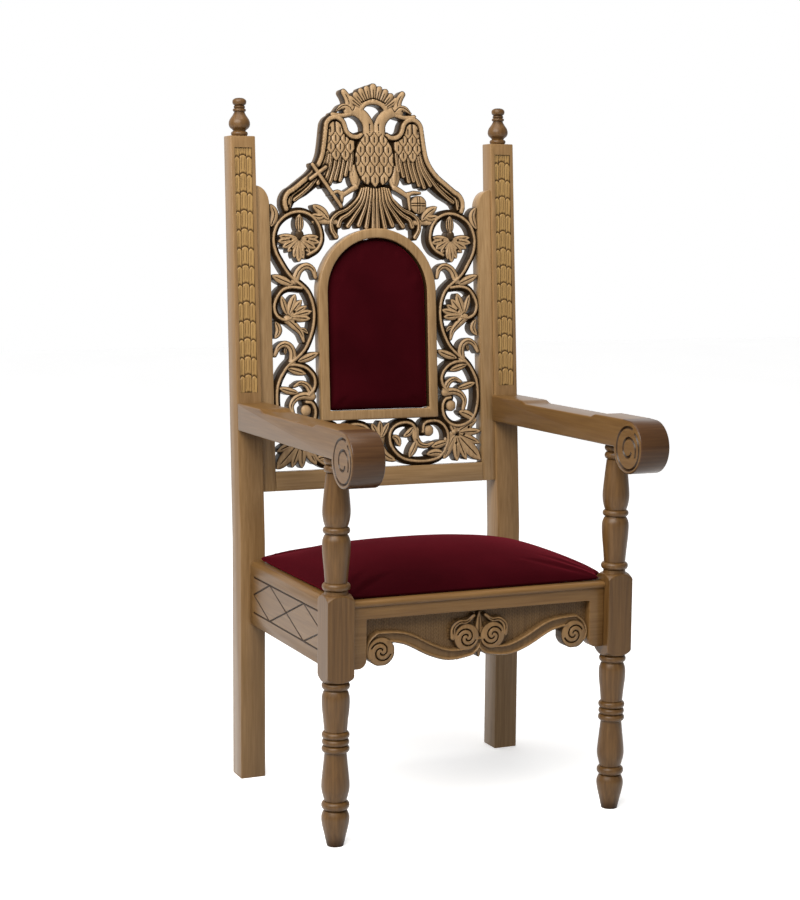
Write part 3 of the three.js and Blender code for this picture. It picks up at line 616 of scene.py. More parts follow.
def thinned(piece, most):
    """Takes triangles out of the flatter parts until a piece has no more than that many."""
    triangles = sum(len(p.vertices) - 2 for p in piece.data.polygons)
    if triangles > most:
        modifier = piece.modifiers.new("thin", "DECIMATE")
        modifier.ratio = most / triangles
        bake(piece)


# The pierced back: half of the vine, flowers and leaves, half of the eagle, then what stands once


VINE = [
    [152, 1067], [132, 1079], [122, 1100], [128, 1128], [145, 1147], [169, 1154], [196, 1147], [217, 1128],
    [226, 1100], [222, 1073], [210, 1050], [197, 1030], [183, 1016], [168, 1005], [155, 992], [146, 972],
    [142, 947], [145, 920], [152, 898], [164, 875], [182, 857], [198, 845], [212, 828], [224, 803],
    [227, 776], [225, 750], [217, 727], [202, 713], [180, 707], [160, 713], [147, 729], [144, 750],
    [151, 764], [163, 767],
]
UPPER_TENDRIL = [
    [168, 999], [190, 1001], [210, 995], [223, 978], [228, 960], [222, 943], [207, 935], [193, 938],
]
MIDDLE_TENDRIL = [[200, 843], [183, 843], [163, 837], [148, 823], [143, 807], [147, 792], [157, 781]]
LOWER_VINE = [
    [97, 697], [100, 713], [113, 719], [135, 717], [152, 700], [155, 677], [147, 657], [133, 642],
    [110, 636], [80, 636], [50, 643], [30, 660], [21, 681], [23, 700], [35, 713], [55, 718], [72, 714],
    [80, 702], [81, 684],
]


def carve_vine(r):
    for chain in (VINE, UPPER_TENDRIL, MIDDLE_TENDRIL, LOWER_VINE):
        r.stem(chain, 9.2)
    r.disc(164, 750, 12)
    r.disc(111, 699, 12)


def carve_spray(r, x, z, leaves, veins=1):
    """Leaves that spread from one knot, each given by its tip and half width."""
    for tip_x, tip_z, half in leaves:
        middle = [(x + tip_x) / 2, (z + tip_z) / 2]
        start = [x * 0.9 + tip_x * 0.1, z * 0.9 + tip_z * 0.1]
        r.leaf([start, middle, [tip_x, tip_z]], half * 1.1, veins)


def carve_curl(r, chain, start, end):
    """A leaf that curls over: it tapers along its line and has a dark crescent along its middle."""
    r.blade(chain, lambda t: start + (end - start) * t**1.5, 27.0, 1, 3.5)


def carve_roundel_flower(r):
    carve_spray(r, 170, 1100, [
        [215, 1104, 7], [217, 1093, 8], [207, 1081, 8], [196, 1072, 7], [128, 1103, 7], [126, 1092, 8],
        [135, 1080, 8], [147, 1071, 7], [162, 1058, 7], [172, 1052, 9], [183, 1060, 7],
    ])
    r.leaf([[170, 1112], [169, 1130], [169, 1149]], 10, 3)
    r.disc(170, 1108, 10, 27.5, 0.1)
    for x, z in ((152, 1098), (188, 1098), (157, 1078), (186, 1078)):
        r.dimple(x, z, 3.2)


def carve_middle_flower(r):
    carve_spray(r, 199, 940, [
        [182, 987, 9], [168, 975, 8], [146, 952, 8], [150, 937, 8], [157, 963, 7], [212, 984, 7],
    ])
    carve_curl(r, [[200, 936], [184, 922], [171, 908], [166, 891]], 10, 4)
    r.leaf([[176, 916], [164, 914], [156, 906]], 5)
    r.leaf([[226, 932], [219, 914], [228, 897]], 8)
    for x, z in ((184, 951), (182, 931)):
        r.dimple(x, z, 3.5)


def carve_corner(r):
    carve_spray(r, 174, 692, [
        [233, 694, 8], [224, 719, 9], [163, 712, 7], [144, 638, 10], [176, 632, 9], [198, 634, 8],
        [231, 633, 13], [230, 668, 8], [151, 655, 7],
    ])
    r.limb([[152, 678], [178, 700]], 7, 8, 25)
    r.disc(170, 694, 7, 27.5)
    for x, z in ((194, 688), (175, 670), (205, 703)):
        r.dimple(x, z, 3.5)


def carve_leaves(r):
    carve_roundel_flower(r)
    carve_middle_flower(r)
    carve_corner(r)
    r.leaf([[104, 1138], [118, 1154], [140, 1168]], 10)
    r.leaf([[112, 1148], [126, 1144], [142, 1148]], 8)
    r.limb([[88, 1134], [136, 1136]], 6, 7, 24)
    r.leaf([[231, 1122], [222, 1148], [231, 1169]], 9)
    carve_curl(r, [[182, 1014], [172, 1035], [156, 1044], [142, 1037], [137, 1021]], 9, 5)
    r.leaf([[186, 1006], [208, 1015], [232, 1025]], 9.5)
    carve_curl(r, [[192, 848], [190, 866], [195, 880], [207, 886], [220, 880], [229, 864]], 9, 5)
    r.leaf([[204, 880], [206, 872], [207, 864]], 4)
    r.leaf([[180, 850], [156, 858], [134, 867]], 9)
    r.leaf([[203, 836], [182, 830], [162, 824]], 8)
    carve_curl(r, [[151, 785], [160, 800], [174, 806], [188, 800]], 8, 4)
    r.leaf([[180, 786], [198, 790], [222, 797]], 8)
    carve_curl(r, [[150, 778], [170, 780], [187, 774], [196, 760], [192, 742]], 9, 5)
    r.leaf([[222, 718], [203, 730], [181, 737]], 9.5)
    r.leaf([[82, 680], [76, 664], [64, 644]], 9)
    carve_curl(r, [[81, 700], [81, 686], [89, 672], [104, 667], [120, 673]], 9, 4)
    r.leaf([[76, 708], [66, 696], [52, 688]], 8)
    r.leaf([[26, 690], [38, 684], [44, 668]], 8)
    r.leaf([[154, 674], [138, 670], [116, 664]], 9)
    r.leaf([[146, 648], [128, 652], [104, 649]], 9)
    r.leaf([[3, 688], [10, 702], [20, 719]], 7.5)
    r.leaf([[1, 676], [10, 652], [34, 638]], 9)


WING_EDGE = [
    [34, 1300], [56, 1306], [68, 1328], [86, 1344], [102, 1334], [110, 1300], [116, 1266], [142, 1229],
    [190, 1190], [195, 1158], [184, 1160], [176, 1174], [150, 1188], [124, 1208], [118, 1202], [102, 1208],
    [90, 1220], [82, 1214], [72, 1216], [57, 1240], [46, 1244],
]
TAIL_EDGE = [
    [0, 1215], [34, 1212], [42, 1186], [64, 1167], [88, 1157], [103, 1142], [105, 1118], [94, 1098],
    [84, 1100], [82, 1126], [70, 1134], [60, 1126], [48, 1134], [30, 1128], [0, 1122],
]
WING_QUILLS = [
    [[50, 1292], [50, 1266], [54, 1241]],
    [[59, 1290], [58, 1262], [65, 1230]],
    [[68, 1286], [68, 1260], [77, 1219]],
    [[77, 1282], [78, 1256], [88, 1221]],
    [[86, 1278], [88, 1250], [100, 1212]],
    [[95, 1274], [99, 1246], [112, 1208]],
    [[100, 1270], [108, 1242], [126, 1212]],
    [[104, 1276], [114, 1246], [138, 1212], [158, 1193], [178, 1178]],
    [[109, 1268], [126, 1238], [158, 1206], [184, 1187], [190, 1164]],
]
TAIL_QUILLS = [
    [[3, 1205], [4, 1172], [5, 1122]],
    [[9, 1205], [12, 1172], [21, 1124]],
    [[15, 1205], [20, 1172], [38, 1128]],
    [[20, 1205], [28, 1174], [47, 1146], [62, 1126]],
    [[25, 1204], [35, 1176], [58, 1152], [77, 1140], [83, 1126]],
    [[30, 1203], [40, 1182], [62, 1161], [84, 1151], [97, 1138], [98, 1120], [89, 1104]],
]


def carve_eagle(r):
    r.board(WING_EDGE, FRET_BOARD)
    r.board(TAIL_EDGE, FRET_BOARD)
    for chain in WING_QUILLS:
        r.quill(chain, 4.2, 5.4)
    for chain in TAIL_QUILLS:
        r.quill(chain, 2.7, 6.6)
    rows = ((1258, (65, 86)), (1273, (54, 76, 97)), (1290, (65, 86, 106)), (1307, (76, 97)))
    for tip, places in rows:
        for x in places:
            r.scale(x, tip, 22.5, height=40)
    r.stem([
        [42, 1331, 23, 23, -125, -10], [86, 1326, 21, 21, 170, 0], [112, 1290], [117, 1267], [127, 1247],
        [142, 1229], [161, 1214], [172, 1172, 28, 28, 70, -28],
    ], 8.4, 28, 19, 3.4, True)
    r.limb([[12, 1312], [13, 1334], [23, 1351], [40, 1361], [57, 1362]], 14, 11, 27.5)
    r.blade([[54, 1364], [55, 1380], [60, 1391], [66, 1399]], lambda t: 11 - 4 * t, 27, 1)
    r.limb([[55, 1366], [70, 1369], [83, 1360]], 10, 3, 28)
    r.limb([[52, 1355], [70, 1351], [92, 1353]], 5.5, 5)
    r.cut([[42, 1370], [47, 1362], [53, 1368], [61, 1372], [72, 1369], [82, 1361]], 1.3)
    r.dimple(65, 1364, 2.6, 2)
    for lean, tip in ((55, 62), (42, 59), (28, 59), (14, 59)):
        angle = math.radians(lean)
        chain = [[reach * math.sin(angle), 1350 + reach * math.cos(angle)] for reach in (34, 48, tip)]
        r.blade(chain, lambda t: 4.5 + 3 * t, 26.5 + lean / 100, 1, 3)
    r.leaf([[46, 1252], [44, 1226], [42, 1202]], 13, 0, 26)
    r.leaf([[46, 1243], [44, 1227], [42, 1211]], 7, 0, 27.5)
    r.limb([[43, 1206], [58, 1198], [74, 1188]], 6.5, 5.5, 27.5)
    r.limb([[74, 1193], [77, 1161]], 5.5, 3.5, 27.5)


def carve_middle(r):
    half_width, half_height, centre = 44, 58, 1263
    r.oval(0, centre, half_width, half_height, 20.5, 1.0)
    three, four, five = (-21, 0, 21), (-31, -10, 10, 31), (-41, -21, 0, 21, 41)
    rows = ((1206, three), (1227, four), (1248, five), (1268, four), (1289, five), (1309, four))
    body = r.window(np.array([[-60, 1195], [60, 1360]]), 2)
    oval = np.hypot(r.x[body] / half_width, (r.z[body] - centre) / half_height)
    around = {name: getattr(r, name)[body].copy() for name in ("level", "worn")}
    for tip, places in rows:
        for x in places:
            r.scale(x, tip, 22)
    for name, before in around.items():
        field = getattr(r, name)
        field[body] = np.where(oval < 1, field[body], before)
    angles = np.linspace(0.55, 2 * math.pi - 0.55, 40)
    edge = [[half_width * math.sin(a), centre + half_height * math.cos(a)] for a in angles]
    r.cut(edge, 2.4, 3)
    r.limb([[-34, 1358], [-19, 1376], [0, 1381], [19, 1376], [34, 1358]], 6, 6, 27)
    r.blade([[0, 1384], [0, 1400], [0, 1411]], lambda t: 5 + 3.5 * t, 27.5, 1, 3)
    r.cut([[-27, 1379], [0, 1388], [27, 1379]], 1.8)
    for side in (-1, 1):
        r.dimple(side * 10, 1334, 2.6, 3)
        r.cut([[side * 10, 1334], [side * 10, 1322]])
    r.disc(98, 1172, 19, 27.5)
    for off in (-2.6, 2.6):
        r.cut([[98 + off, 1156], [98 + off, 1188]], 1.3)
        r.cut([[82, 1172 + off], [114, 1172 + off]], 1.3)
    r.limb([[72, 1189], [84, 1196], [101, 1196]], 5.5, 3.5, 27.5)
    staff, cross_bar = [[-138, 1250], [-77, 1166]], [[-143, 1221], [-109, 1245]]
    for chain in (staff, cross_bar):
        r.cut(chain, 11, 5)
    for chain in (staff, cross_bar):
        r.limb(chain, 4.8, 4.8, 28)
    r.limb([[-72, 1189], [-84, 1196], [-98, 1191]], 5.5, 3.5, 27.5)
    r.leaf([[0, 686], [0, 706], [0, 724]], 8)
    r.limb([[0, 694], [0, 660]], 13, 8, 25)
    r.disc(0, 677, 7, 28)
    r.leaf([[0, 674], [0, 655], [0, 634]], 9)


def arch_inside(x, z, half, bottom):
    """How far points lie inside an arch with a round top."""
    above = half - np.hypot(x, np.maximum(z - ARCH_SPRING, 0))
    return np.minimum(np.where(z > ARCH_SPRING, above, half - np.abs(x)), z - bottom)


def carved_panel():
    half = Relief((0, FRAME_RAIL_TOP - 3), (FRAME_INNER + 3, FRET_TOP + 2), 1.0)
    carve_vine(half)
    carve_leaves(half)
    carve_eagle(half)
    whole = half.with_mirror_image()
    carve_middle(whole)
    edge = FRAME_INNER - GAP
    whole.keep(np.minimum(edge - np.abs(whole.x), whole.z - FRAME_RAIL_TOP - GAP))
    whole.keep(-arch_inside(whole.x, whole.z, ARCH_OUTER + GAP, ARCH_BOTTOM - GAP))
    whole.keep(FRET_TOP - whole.z)
    mesh = whole.mesh("carved_back", leaned, base=FRET_BACK)
    piece = add_object("carved_back", mesh, CARVED_WOOD, 50)
    thinned(piece, FRET_MOST_TRIANGLES)
    piece.data.set_sharp_from_angle(angle=math.radians(50))
    stand_for(piece, "carved_wood", "carved_back_panel")


carved_panel()

# Plain frame of the back


def joined(piece, *others):
    """Puts other objects' meshes into a piece."""
    for one in bpy.context.selected_objects:
        one.select_set(False)
    for one in (piece, *others):
        one.select_set(True)
    bpy.context.view_layer.objects.active = piece
    bpy.ops.object.join()
    return piece


def cut_away(piece, cutters, how="DIFFERENCE"):
    """Cuts other closed objects out of a piece, or adds them to it, and deletes them."""
    cutter = joined(*cutters)
    modifier = piece.modifiers.new("cut", "BOOLEAN")
    modifier.object = cutter
    modifier.operation = how
    modifier.solver = "EXACT"
    modifier.use_self = True
    modifier.material_mode = "TRANSFER"
    bake(piece)
    bpy.data.meshes.remove(cutter.data)
    piece.data.shade_smooth()
    piece.data.set_sharp_from_angle(angle=math.radians(32))


def cut_line(path, half, depth, place):
    """The solid of a V-shaped cut along a path of (a, b) points on a face at level 0, for place to put."""
    path = np.asarray(path, float)
    forward = np.gradient(path, axis=0)
    forward /= np.hypot(*forward.T)[:, None]
    across = np.column_stack((-forward[:, 1], forward[:, 0])) * half
    over = 1.0
    spread = across * (1 + over / depth)
    section = ((path + spread, over), (path, -depth), (path - spread, over))
    corners = [place(at_level(line, level)) for line, level in section]
    rings = [np.array([line[i] for line in corners]) for i in range(len(path))]
    return add_object("cut", loft_mesh("cut", rings), GROOVE_WOOD)


def arch_outline(half, bottom, segments=32):
    angles = np.linspace(0, math.pi, segments + 1)
    top = np.column_stack((half * np.cos(angles), ARCH_SPRING + half * np.sin(angles)))
    return np.concatenate(([[-half, bottom], [half, bottom]], top))


def arch_frame():
    outer = arch_outline(ARCH_OUTER, ARCH_BOTTOM)
    inner = arch_outline(ARCH_INNER, ARCH_BOTTOM + ARCH_OUTER - ARCH_INNER)
    front, back = -ARCH_RECESS, -ARCH_RECESS - FRAME_THICK
    section = ((outer, back), (outer, front), (inner, front), (inner, back))
    rings = [leaned(at_level(outline, level)) for outline, level in section]
    count = len(outer)
    faces = []
    for k in range(4):
        for i in range(count):
            j = (i + 1) % count
            low, high = k * count, (k + 1) % 4 * count
            faces.append((low + i, low + j, high + j, high + i))
    mesh = bpy.data.meshes.new("arch_moulding")
    mesh.from_pydata(np.concatenate(rings).tolist(), [], faces)
    # The inner walls take the dark matt wood: painted shade in the gap between the frame and the pad
    inner_walls = range(2 * count, 3 * count)
    for i in inner_walls:
        mesh.polygons[i].material_index = 1
    face_out(mesh, 3.0, 3)
    piece = add_object("arch_moulding", mesh, UPRIGHT_WOOD_PAINTED_LIT)
    piece.data.materials.append(REVEAL_WOOD_PAINTED_SHADE)
    stand_for(piece, "stained_wood", "arch_frame")


def stiles():
    outer = HALF_WIDTH - POST_SIDE - GAP
    shoulder = np.radians(np.linspace(90, 180, 13))
    shoulder_x = outer + (outer - FRAME_INNER) * np.cos(shoulder)
    curve = np.column_stack((shoulder_x, SHOULDER_BOTTOM + SHOULDER_RISE * np.sin(shoulder)))
    outline = np.concatenate(([[FRAME_INNER, FRAME_BOTTOM], [outer, FRAME_BOTTOM]], curve))
    front = -FRAME_RECESS
    right = prism("stile_right", outline, front - FRAME_THICK, front, leaned, UPRIGHT_WOOD_PAINTED_LIT, 1.6, 2, 35, 40)
    stand_on_both_sides(right, "stile_left", "stained_wood", "back_stile")
    end = FRAME_INNER - GAP
    box = rectangle(-end, FRAME_BOTTOM, end, FRAME_RAIL_TOP)
    rail = prism("bottom_rail", box, front - FRAME_THICK, front, leaned, BACK_RAIL_WOOD_PAINTED_LIT, 1.6)
    stand_for(rail, "stained_wood", "back_bottom_rail")


arch_frame()
stiles()

# Back posts with a carved strip of leaf tiers


def leaf_strip(middle):
    """Tiers of three leaves that lean out towards their scalloped top edges, over one post's face."""
    r = Relief((middle - 20, STRIP_BOTTOM - 2), (middle + 20, STRIP_TOP + 2), 0.8)
    across = np.abs(r.x - middle)
    half = STRIP_WIDTH / 2
    tier = (STRIP_TOP - STRIP_BOTTOM) / (STRIP_TIERS + 0.4)
    lobe = 7.0
    centre = -3.5 * (across / lobe) ** 2
    side = -3.5 - 4.5 * ((across - 12.5) / 5.5) ** 2
    tip = np.where(across < lobe, centre, side)
    place = (r.z - STRIP_BOTTOM - tip) / tier
    share = place - np.floor(place)
    lean = 0.8 + 3.0 * share - 1.6 * smooth(0.93, 1.0, share)
    flute_at = np.minimum(np.abs(across - 3.2), np.abs(across - 12.5))
    flute = np.clip(1 - flute_at / 1.3, 0, 1) * smooth(0.1, 0.3, share) * (1 - smooth(0.7, 0.92, share))
    gap = np.clip(1 - np.abs(across - lobe) / 1.5, 0, 1)
    r.level = lean - 0.9 * flute - 1.3 * gap
    r.worn = smooth(0.02, 0.16, share) * (1 - 0.55 * flute) * (1 - 0.75 * gap)
    r.worn *= 1 - 0.8 * smooth(0.95, 1, share)
    r.inside = np.minimum(half - 0.2 - across, np.minimum(r.z - STRIP_BOTTOM - 0.2, STRIP_TOP - 0.2 - r.z))
    mesh = r.mesh("leaf strip", leaned, base=-STRIP_DEPTH - 0.6)
    return add_object("leaf strip", mesh, STRIP_WOOD, 60)


def rear_posts():
    top_back = POST_SETBACK + POST_TOP_DEPTH
    foot = [[0, POST_BEND], [0, 0], [POST_SIDE, 0], [POST_SIDE, POST_BEND]]
    outline = foot + [[top_back, POST_HEIGHT], [POST_SETBACK, POST_HEIGHT]]
    inner = HALF_WIDTH - POST_SIDE
    post = prism("back_post_right", outline, inner, HALF_WIDTH, seen_from_side, POST_WOOD_PAINTED_LIT, 1.8)
    middle = HALF_WIDTH - POST_SIDE / 2
    half = STRIP_WIDTH / 2
    hollow = rectangle(middle - half, STRIP_BOTTOM, middle + half, STRIP_TOP)
    cut_away(post, [prism("hollow", hollow, -STRIP_DEPTH, 6, leaned, GROOVE_WOOD, 0)])
    joined(post, leaf_strip(middle))
    stand_on_both_sides(post, "back_post_left", "stained_wood", "rear_post")


rear_posts()

# Turned work


def turned_profile(steps, spacing=1.4):
    """Rows of (height, radius). Pairs are points of a curve, triples (low, high, radius) are beads."""
    rows, run = [], []

    def end_run():
        if len(run) > 1:
            count = max(1, int((run[-1][0] - run[0][0]) / len(run) / spacing))
            rows.extend(route(run, count))
        else:
            rows.extend(run)
        run.clear()

    for step in steps:
        if len(step) == 2:
            run.append(list(step))
            continue
        end_run()
        low, high, radius = step
        swell = (high - low) * 0.42
        for angle in np.linspace(0, math.pi, 11):
            height = low + (high - low) * (1 - math.cos(angle)) / 2
            rows.append([height, radius - swell + swell * math.sin(angle)])
    end_run()
    return np.array(rows)


def round_angles(count, extra=()):
    corners = np.array([45 + 90 * k + e for k in range(4) for e in extra])
    return np.radians(np.unique(np.concatenate((np.arange(count) * 360 / count, corners))))


def turned(name, profile, angles, foot, neck, bulge, side=None):
    """A turned piece on a foot point, glazed dark in its necks. A side cuts it back to a rounded square."""
    cosine, sine = np.cos(angles), np.sin(angles)
    reach = np.full(len(angles), 1e3)
    if side:
        sharpness = 60
        reach = side / 2 / (np.abs(cosine) ** sharpness + np.abs(sine) ** sharpness) ** (1 / sharpness)
    radii = np.minimum(profile[:, 1:], reach)
    rings = []
    for height, r in zip(profile[:, 0], radii):
        rings.append(upright(at_level(np.column_stack((r * cosine, r * sine)), height) + foot))
    mesh = loft_mesh(name, rings)
    mark_worn(mesh, smooth(neck, bulge, radii).ravel())
    return mesh


FINIAL = [
    (0, 9, 17), (9.5, 12.5), (12, 14), (17, 19.5), (24, 21.4), (32, 19.5), (41, 13.5), (47, 10.5),
    (48, 54, 13.2), (54.5, 59.5, 11.5), (60, 9.8), (63, 13), (67, 14), (71, 13), (74, 9), (75, 5),
]
LEG = [
    (0, 15.5), (20, 20), (40, 24.6), (54, 25.8), (64, 22.5), (66, 20.5),
    (68, 84, 25.8),
    (85, 20.5), (94, 23), (106, 25.6), (120, 25.6), (146, 23), (172, 20.3),
    (175, 187, 25.4), (187.5, 200, 24.8), (200.5, 213, 25.4),
    (214, 20.8), (236, 22.8), (258, 25.2), (276, 25.4), (286, 22.8), (289, 20.8),
    (291, 304, 25.9),
]
BALUSTER = [
    (472, 486, 25.9),
    (487, 20.4), (512, 22.6), (540, 25.2), (560, 25.5), (570, 22.6), (573, 20.6),
    (575, 587, 24.8),
    (588, 20.6), (597, 23.4), (610, 25.4), (624, 25.2), (652, 22.6), (683, 19.4),
    (685, 699, 23.4), (699.5, 713.5, 23.4),
]


def front_posts():
    corner = FRONT_SIDE * 0.72
    rounding = [(0.5, 25), (3, 29), (7, 33.5), (12, corner)]
    block = [(BLOCK_BOTTOM, 21)] + [(BLOCK_BOTTOM + rise, radius) for rise, radius in rounding]
    block_top = [(BLOCK_TOP - drop, radius) for drop, radius in reversed(rounding)]
    block_top += [(BLOCK_TOP, 22), (BLOCK_TOP + 6, 21)]
    rows = [turned_profile(part, 0.9) for part in (LEG, block, block_top, BALUSTER)]
    angles = round_angles(72, (-3, -1.5, 1.5, 3))
    foot = (FRONT_X, FRONT_Y, 0)
    mesh = turned("turned_post_right", np.concatenate(rows), angles, foot, 14, 22, FRONT_SIDE)
    right = add_object("turned_post_right", mesh, TURNED_WOOD, 28)
    stand_on_both_sides(right, "turned_post_left", "stained_wood", "front_post")


def finials():
    foot = (HALF_WIDTH - POST_SIDE / 2, POST_SETBACK + POST_TOP_DEPTH / 2, POST_HEIGHT + GAP)
    mesh = turned("top_knob_right", turned_profile(FINIAL, 0.8), round_angles(48), foot, 6, 15)
    right = add_object("top_knob_right", mesh, TURNED_WOOD, 40)
    stand_on_both_sides(right, "top_knob_left", "stained_wood", "finial")


front_posts()
finials()

# Arms


def post_face(height):
    """The front face of a back post at a height."""
    return max(0, height - POST_BEND) * math.tan(RAKE)


def arms():
    start = math.degrees(math.asin((ARM_BOTTOM - ROLL_Z) / ROLL_RADIUS))
    roll = arc(ROLL_Y, ROLL_Z, ROLL_RADIUS, ROLL_RADIUS, start, -270, 5)
    depths = np.linspace(ROLL_Y + 18, post_face(ARM_TOP) - GAP, 90)
    dip = smooth(DISH_FRONT - DISH_RAMP, DISH_FRONT + 8, depths) * (
        1 - smooth(DISH_BACK - 8, DISH_BACK + DISH_RAMP, depths)
    )
    top = np.column_stack((depths, ARM_TOP - DISH_DEPTH * dip))
    outline = np.concatenate(([[post_face(ARM_BOTTOM) - GAP, ARM_BOTTOM]], roll, top))
    name = "scrolled_arm_right"
    arm = prism(name, outline, ARM_INNER, HALF_WIDTH, seen_from_side, DEPTH_WOOD_PAINTED_SHADE, 3.0, 3, 32, 32)
    ring = arc(ROLL_Y - 3, ROLL_Z - 3, 41, 38, 112, -235, 8)
    spiral = arc(ROLL_Y - 4, ROLL_Z - 4, 27, 11, -150, -520, 10)
    faces = (
        lambda points: seen_from_side(points + (0, 0, HALF_WIDTH)),
        lambda points: seen_from_side(points * (1, 1, -1) + (0, 0, ARM_INNER)),
    )
    cut_away(arm, [cut_line(path, 2.6, 3.0, face) for path in (ring, spiral) for face in faces])
    arm.data.materials.append(ROLL_WOOD)
    roll_end = (ROLL_Y + SHIFT + 12) * MM
    for face in arm.data.polygons:
        plain = face.material_index == 0
        if plain and face.center.y < roll_end and abs(face.normal.x) < 0.75:
            face.material_index = len(arm.data.materials) - 1
    stand_on_both_sides(arm, "scrolled_arm_left", "stained_wood", "arm")


arms()

# Seat rails


def side_rails():
    inner, outer = RAIL_OUTER - RAIL_THICK, RAIL_OUTER
    front, back = FRONT_Y + FRONT_SIDE / 2 + GAP, -GAP
    chamfer = [[outer, RAIL_TOP - RAIL_CHAMFER], [outer - RAIL_CHAMFER, RAIL_TOP]]
    section = [[inner, RAIL_BOTTOM], [outer, RAIL_BOTTOM], *chamfer, [inner, RAIL_TOP]]

    def across_height_depth(points):
        return upright(points[:, (0, 2, 1)])

    rail = prism("cut_rail_right", section, front, back, across_height_depth, DEPTH_WOOD_PAINTED_SHADE, 1.2)
    upper, lower, first, last = 421, 349, -395, -22
    middle, quarter = (upper + lower) / 2, (last - first) / 4
    lines = [[[first, upper], [last, upper]], [[first, lower], [last, lower]]]
    for edge in (upper, lower):
        for corner in (first + quarter, first + 3 * quarter):
            lines.append([[corner - quarter, middle], [corner, edge]])
            lines.append([[corner, edge], [corner + quarter, middle]])
    cut_away(rail, [cut_line(l, 2.0, 2.2, lambda p: seen_from_side(p + (0, 0, outer))) for l in lines])
    stand_on_both_sides(rail, "cut_rail_left", "stained_wood", "side_rail")


def front_rail():
    inner = BLOCK_INNER - BRACKET_WIDTH
    r = BRACKET_ROUND
    foot = arc(inner + r, BRACKET_BOTTOM + r, r, r, 180, 270, 9)
    end = [[BLOCK_INNER, BRACKET_BOTTOM], [BLOCK_INNER, RAIL_TOP]]
    right = np.concatenate(([[inner, FRONT_BOTTOM]], foot, end))
    outline = np.concatenate((right, right[::-1] * (-1, 1)))
    face = -FRONT_FACE
    back = face - FRONT_THICK
    rail = prism("shaped_rail", outline, back, face, seen_from_front, ACROSS_WOOD_PAINTED_LIT, 1.6, 2, 35, 40)
    angles = np.linspace(0, 2 * math.pi, 25)[:-1]
    bead = np.column_stack((face - 2 + 6.5 * np.cos(angles), RAIL_TOP - 6.6 + 6.5 * np.sin(angles)))
    ends = [
        seen_from_front(np.column_stack((np.full(24, side * (BLOCK_INNER - 0.2)), bead[:, 1], bead[:, 0])))
        for side in (-1, 1)
    ]
    moulding = add_object("bead", loft_mesh("bead", ends), ACROSS_WOOD_PAINTED_LIT)
    cut_away(rail, [moulding], "UNION")
    stand_for(rail, "stained_wood", "front_rail")


def rear_rail():
    end = HALF_WIDTH - POST_SIDE - GAP
    box = rectangle(-end, REAR_BOTTOM, end, RAIL_TOP)
    back = -REAR_FRONT - REAR_THICK
    piece = prism("back_seat_rail", box, back, -REAR_FRONT, seen_from_front, ACROSS_WOOD_PAINTED_LIT, 2)
    stand_for(piece, "stained_wood", "rear_rail")


side_rails()
front_rail()
rear_rail()

# Carved apron: two scrolls that meet under the middle of the front rail


def carve_scroll(r, chain, half_at, ground):
    """A broad scroll with raised rims and a hollow between them."""
    points = route(chain)
    part = r.window(points, 12)
    distance, share, _ = along(points, r.x[part], r.z[part])
    width = half_at(share)
    rim = 1 - np.clip(np.abs(distance - (width - 3.0)) / 3.0, 0, 1) ** 2
    level = ground + 7.5 + (APRON_RELIEF - 7.5) * rim
    r.lay(part, width - distance, level, 0.6 + 0.4 * smooth(0.35, 0.85, rim))


def carve_volute(r, x, z, radius, start, ground):
    """The round end of a scroll: a disc with two comma cuts that turn in to its middle."""
    r.disc(x, z, radius, ground + 15)
    for half_turn in (0, 180):
        inwards = arc(x, z, radius * 0.74, radius * 0.12, start + half_turn, start + half_turn + 290, 15)
        r.cut(inwards.tolist(), 2.0, 4.5)


def apron():
    edge = BLOCK_INNER - BRACKET_WIDTH - GAP
    top = FRONT_BOTTOM - GAP
    ground = APRON_GROUND
    r = Relief((0, APRON_BOTTOM - 2), (edge + 3, top + 3), 0.9)
    lower = [[24, 340], [60, 334], [98, 346], [150, 372], [198, 353]]
    r.board([[-1, top], [-1, 332], *lower, [edge, 345], [edge, top]], ground)
    r.blade([[0, 410], [0, 372], [0, 327]], lambda t: 3 + 6 * math.sin(math.pi * t), ground + 9, 1)
    scroll = [[198, 353, 24, 26, -20, 90], [150, 372], [98, 346], [60, 334], [26, 364, 28, 26, 262, 200]]
    carve_scroll(r, scroll, lambda t: 8 + 4 * np.sin(np.pi * t), ground)
    carve_volute(r, 200, 352, 27, 200, ground)
    carve_volute(r, 27, 364, 26, 20, ground)
    r.blade([[54, 366], [54, 382], [42, 393], [26, 394], [12, 404]], lambda t: 7 - 3 * t, ground + 12, 1)
    whole = r.with_mirror_image()
    tooled = (whole.level <= ground + 0.01) & (whole.inside > 0)
    grain = np.sin(whole.x * 1.9 + 2.1 * np.sin(whole.z * 0.83))
    grain = grain * np.sin(whole.z * 1.7 + 1.7 * np.sin(whole.x * 0.71))
    whole.level = np.where(tooled, whole.level + 0.5 * grain, whole.level)
    whole.worn = np.where(tooled, 0.5 + 0.3 * grain, whole.worn)
    whole.keep(np.minimum(edge - np.abs(whole.x), top - whole.z))
    whole.keep(whole.z - APRON_BOTTOM)
    mesh = whole.mesh("scroll_apron", seen_from_front, base=-APRON_FACE - ground)
    piece = add_object("scroll_apron", mesh, APRON_WOOD, 50)
    stand_for(piece, "carved_wood", "carved_apron")


apron()

# Velvet seat and back pad


def finer(outline, longest):
    """The same closed outline with no edge longer than a given length."""
    points = []
    for start, end in zip(outline, np.roll(outline, -1, axis=0)):
        count = max(1, math.ceil(math.dist(start, end) / longest))
        points += [start + (end - start) * i / count for i in range(count)]
    return np.array(points)


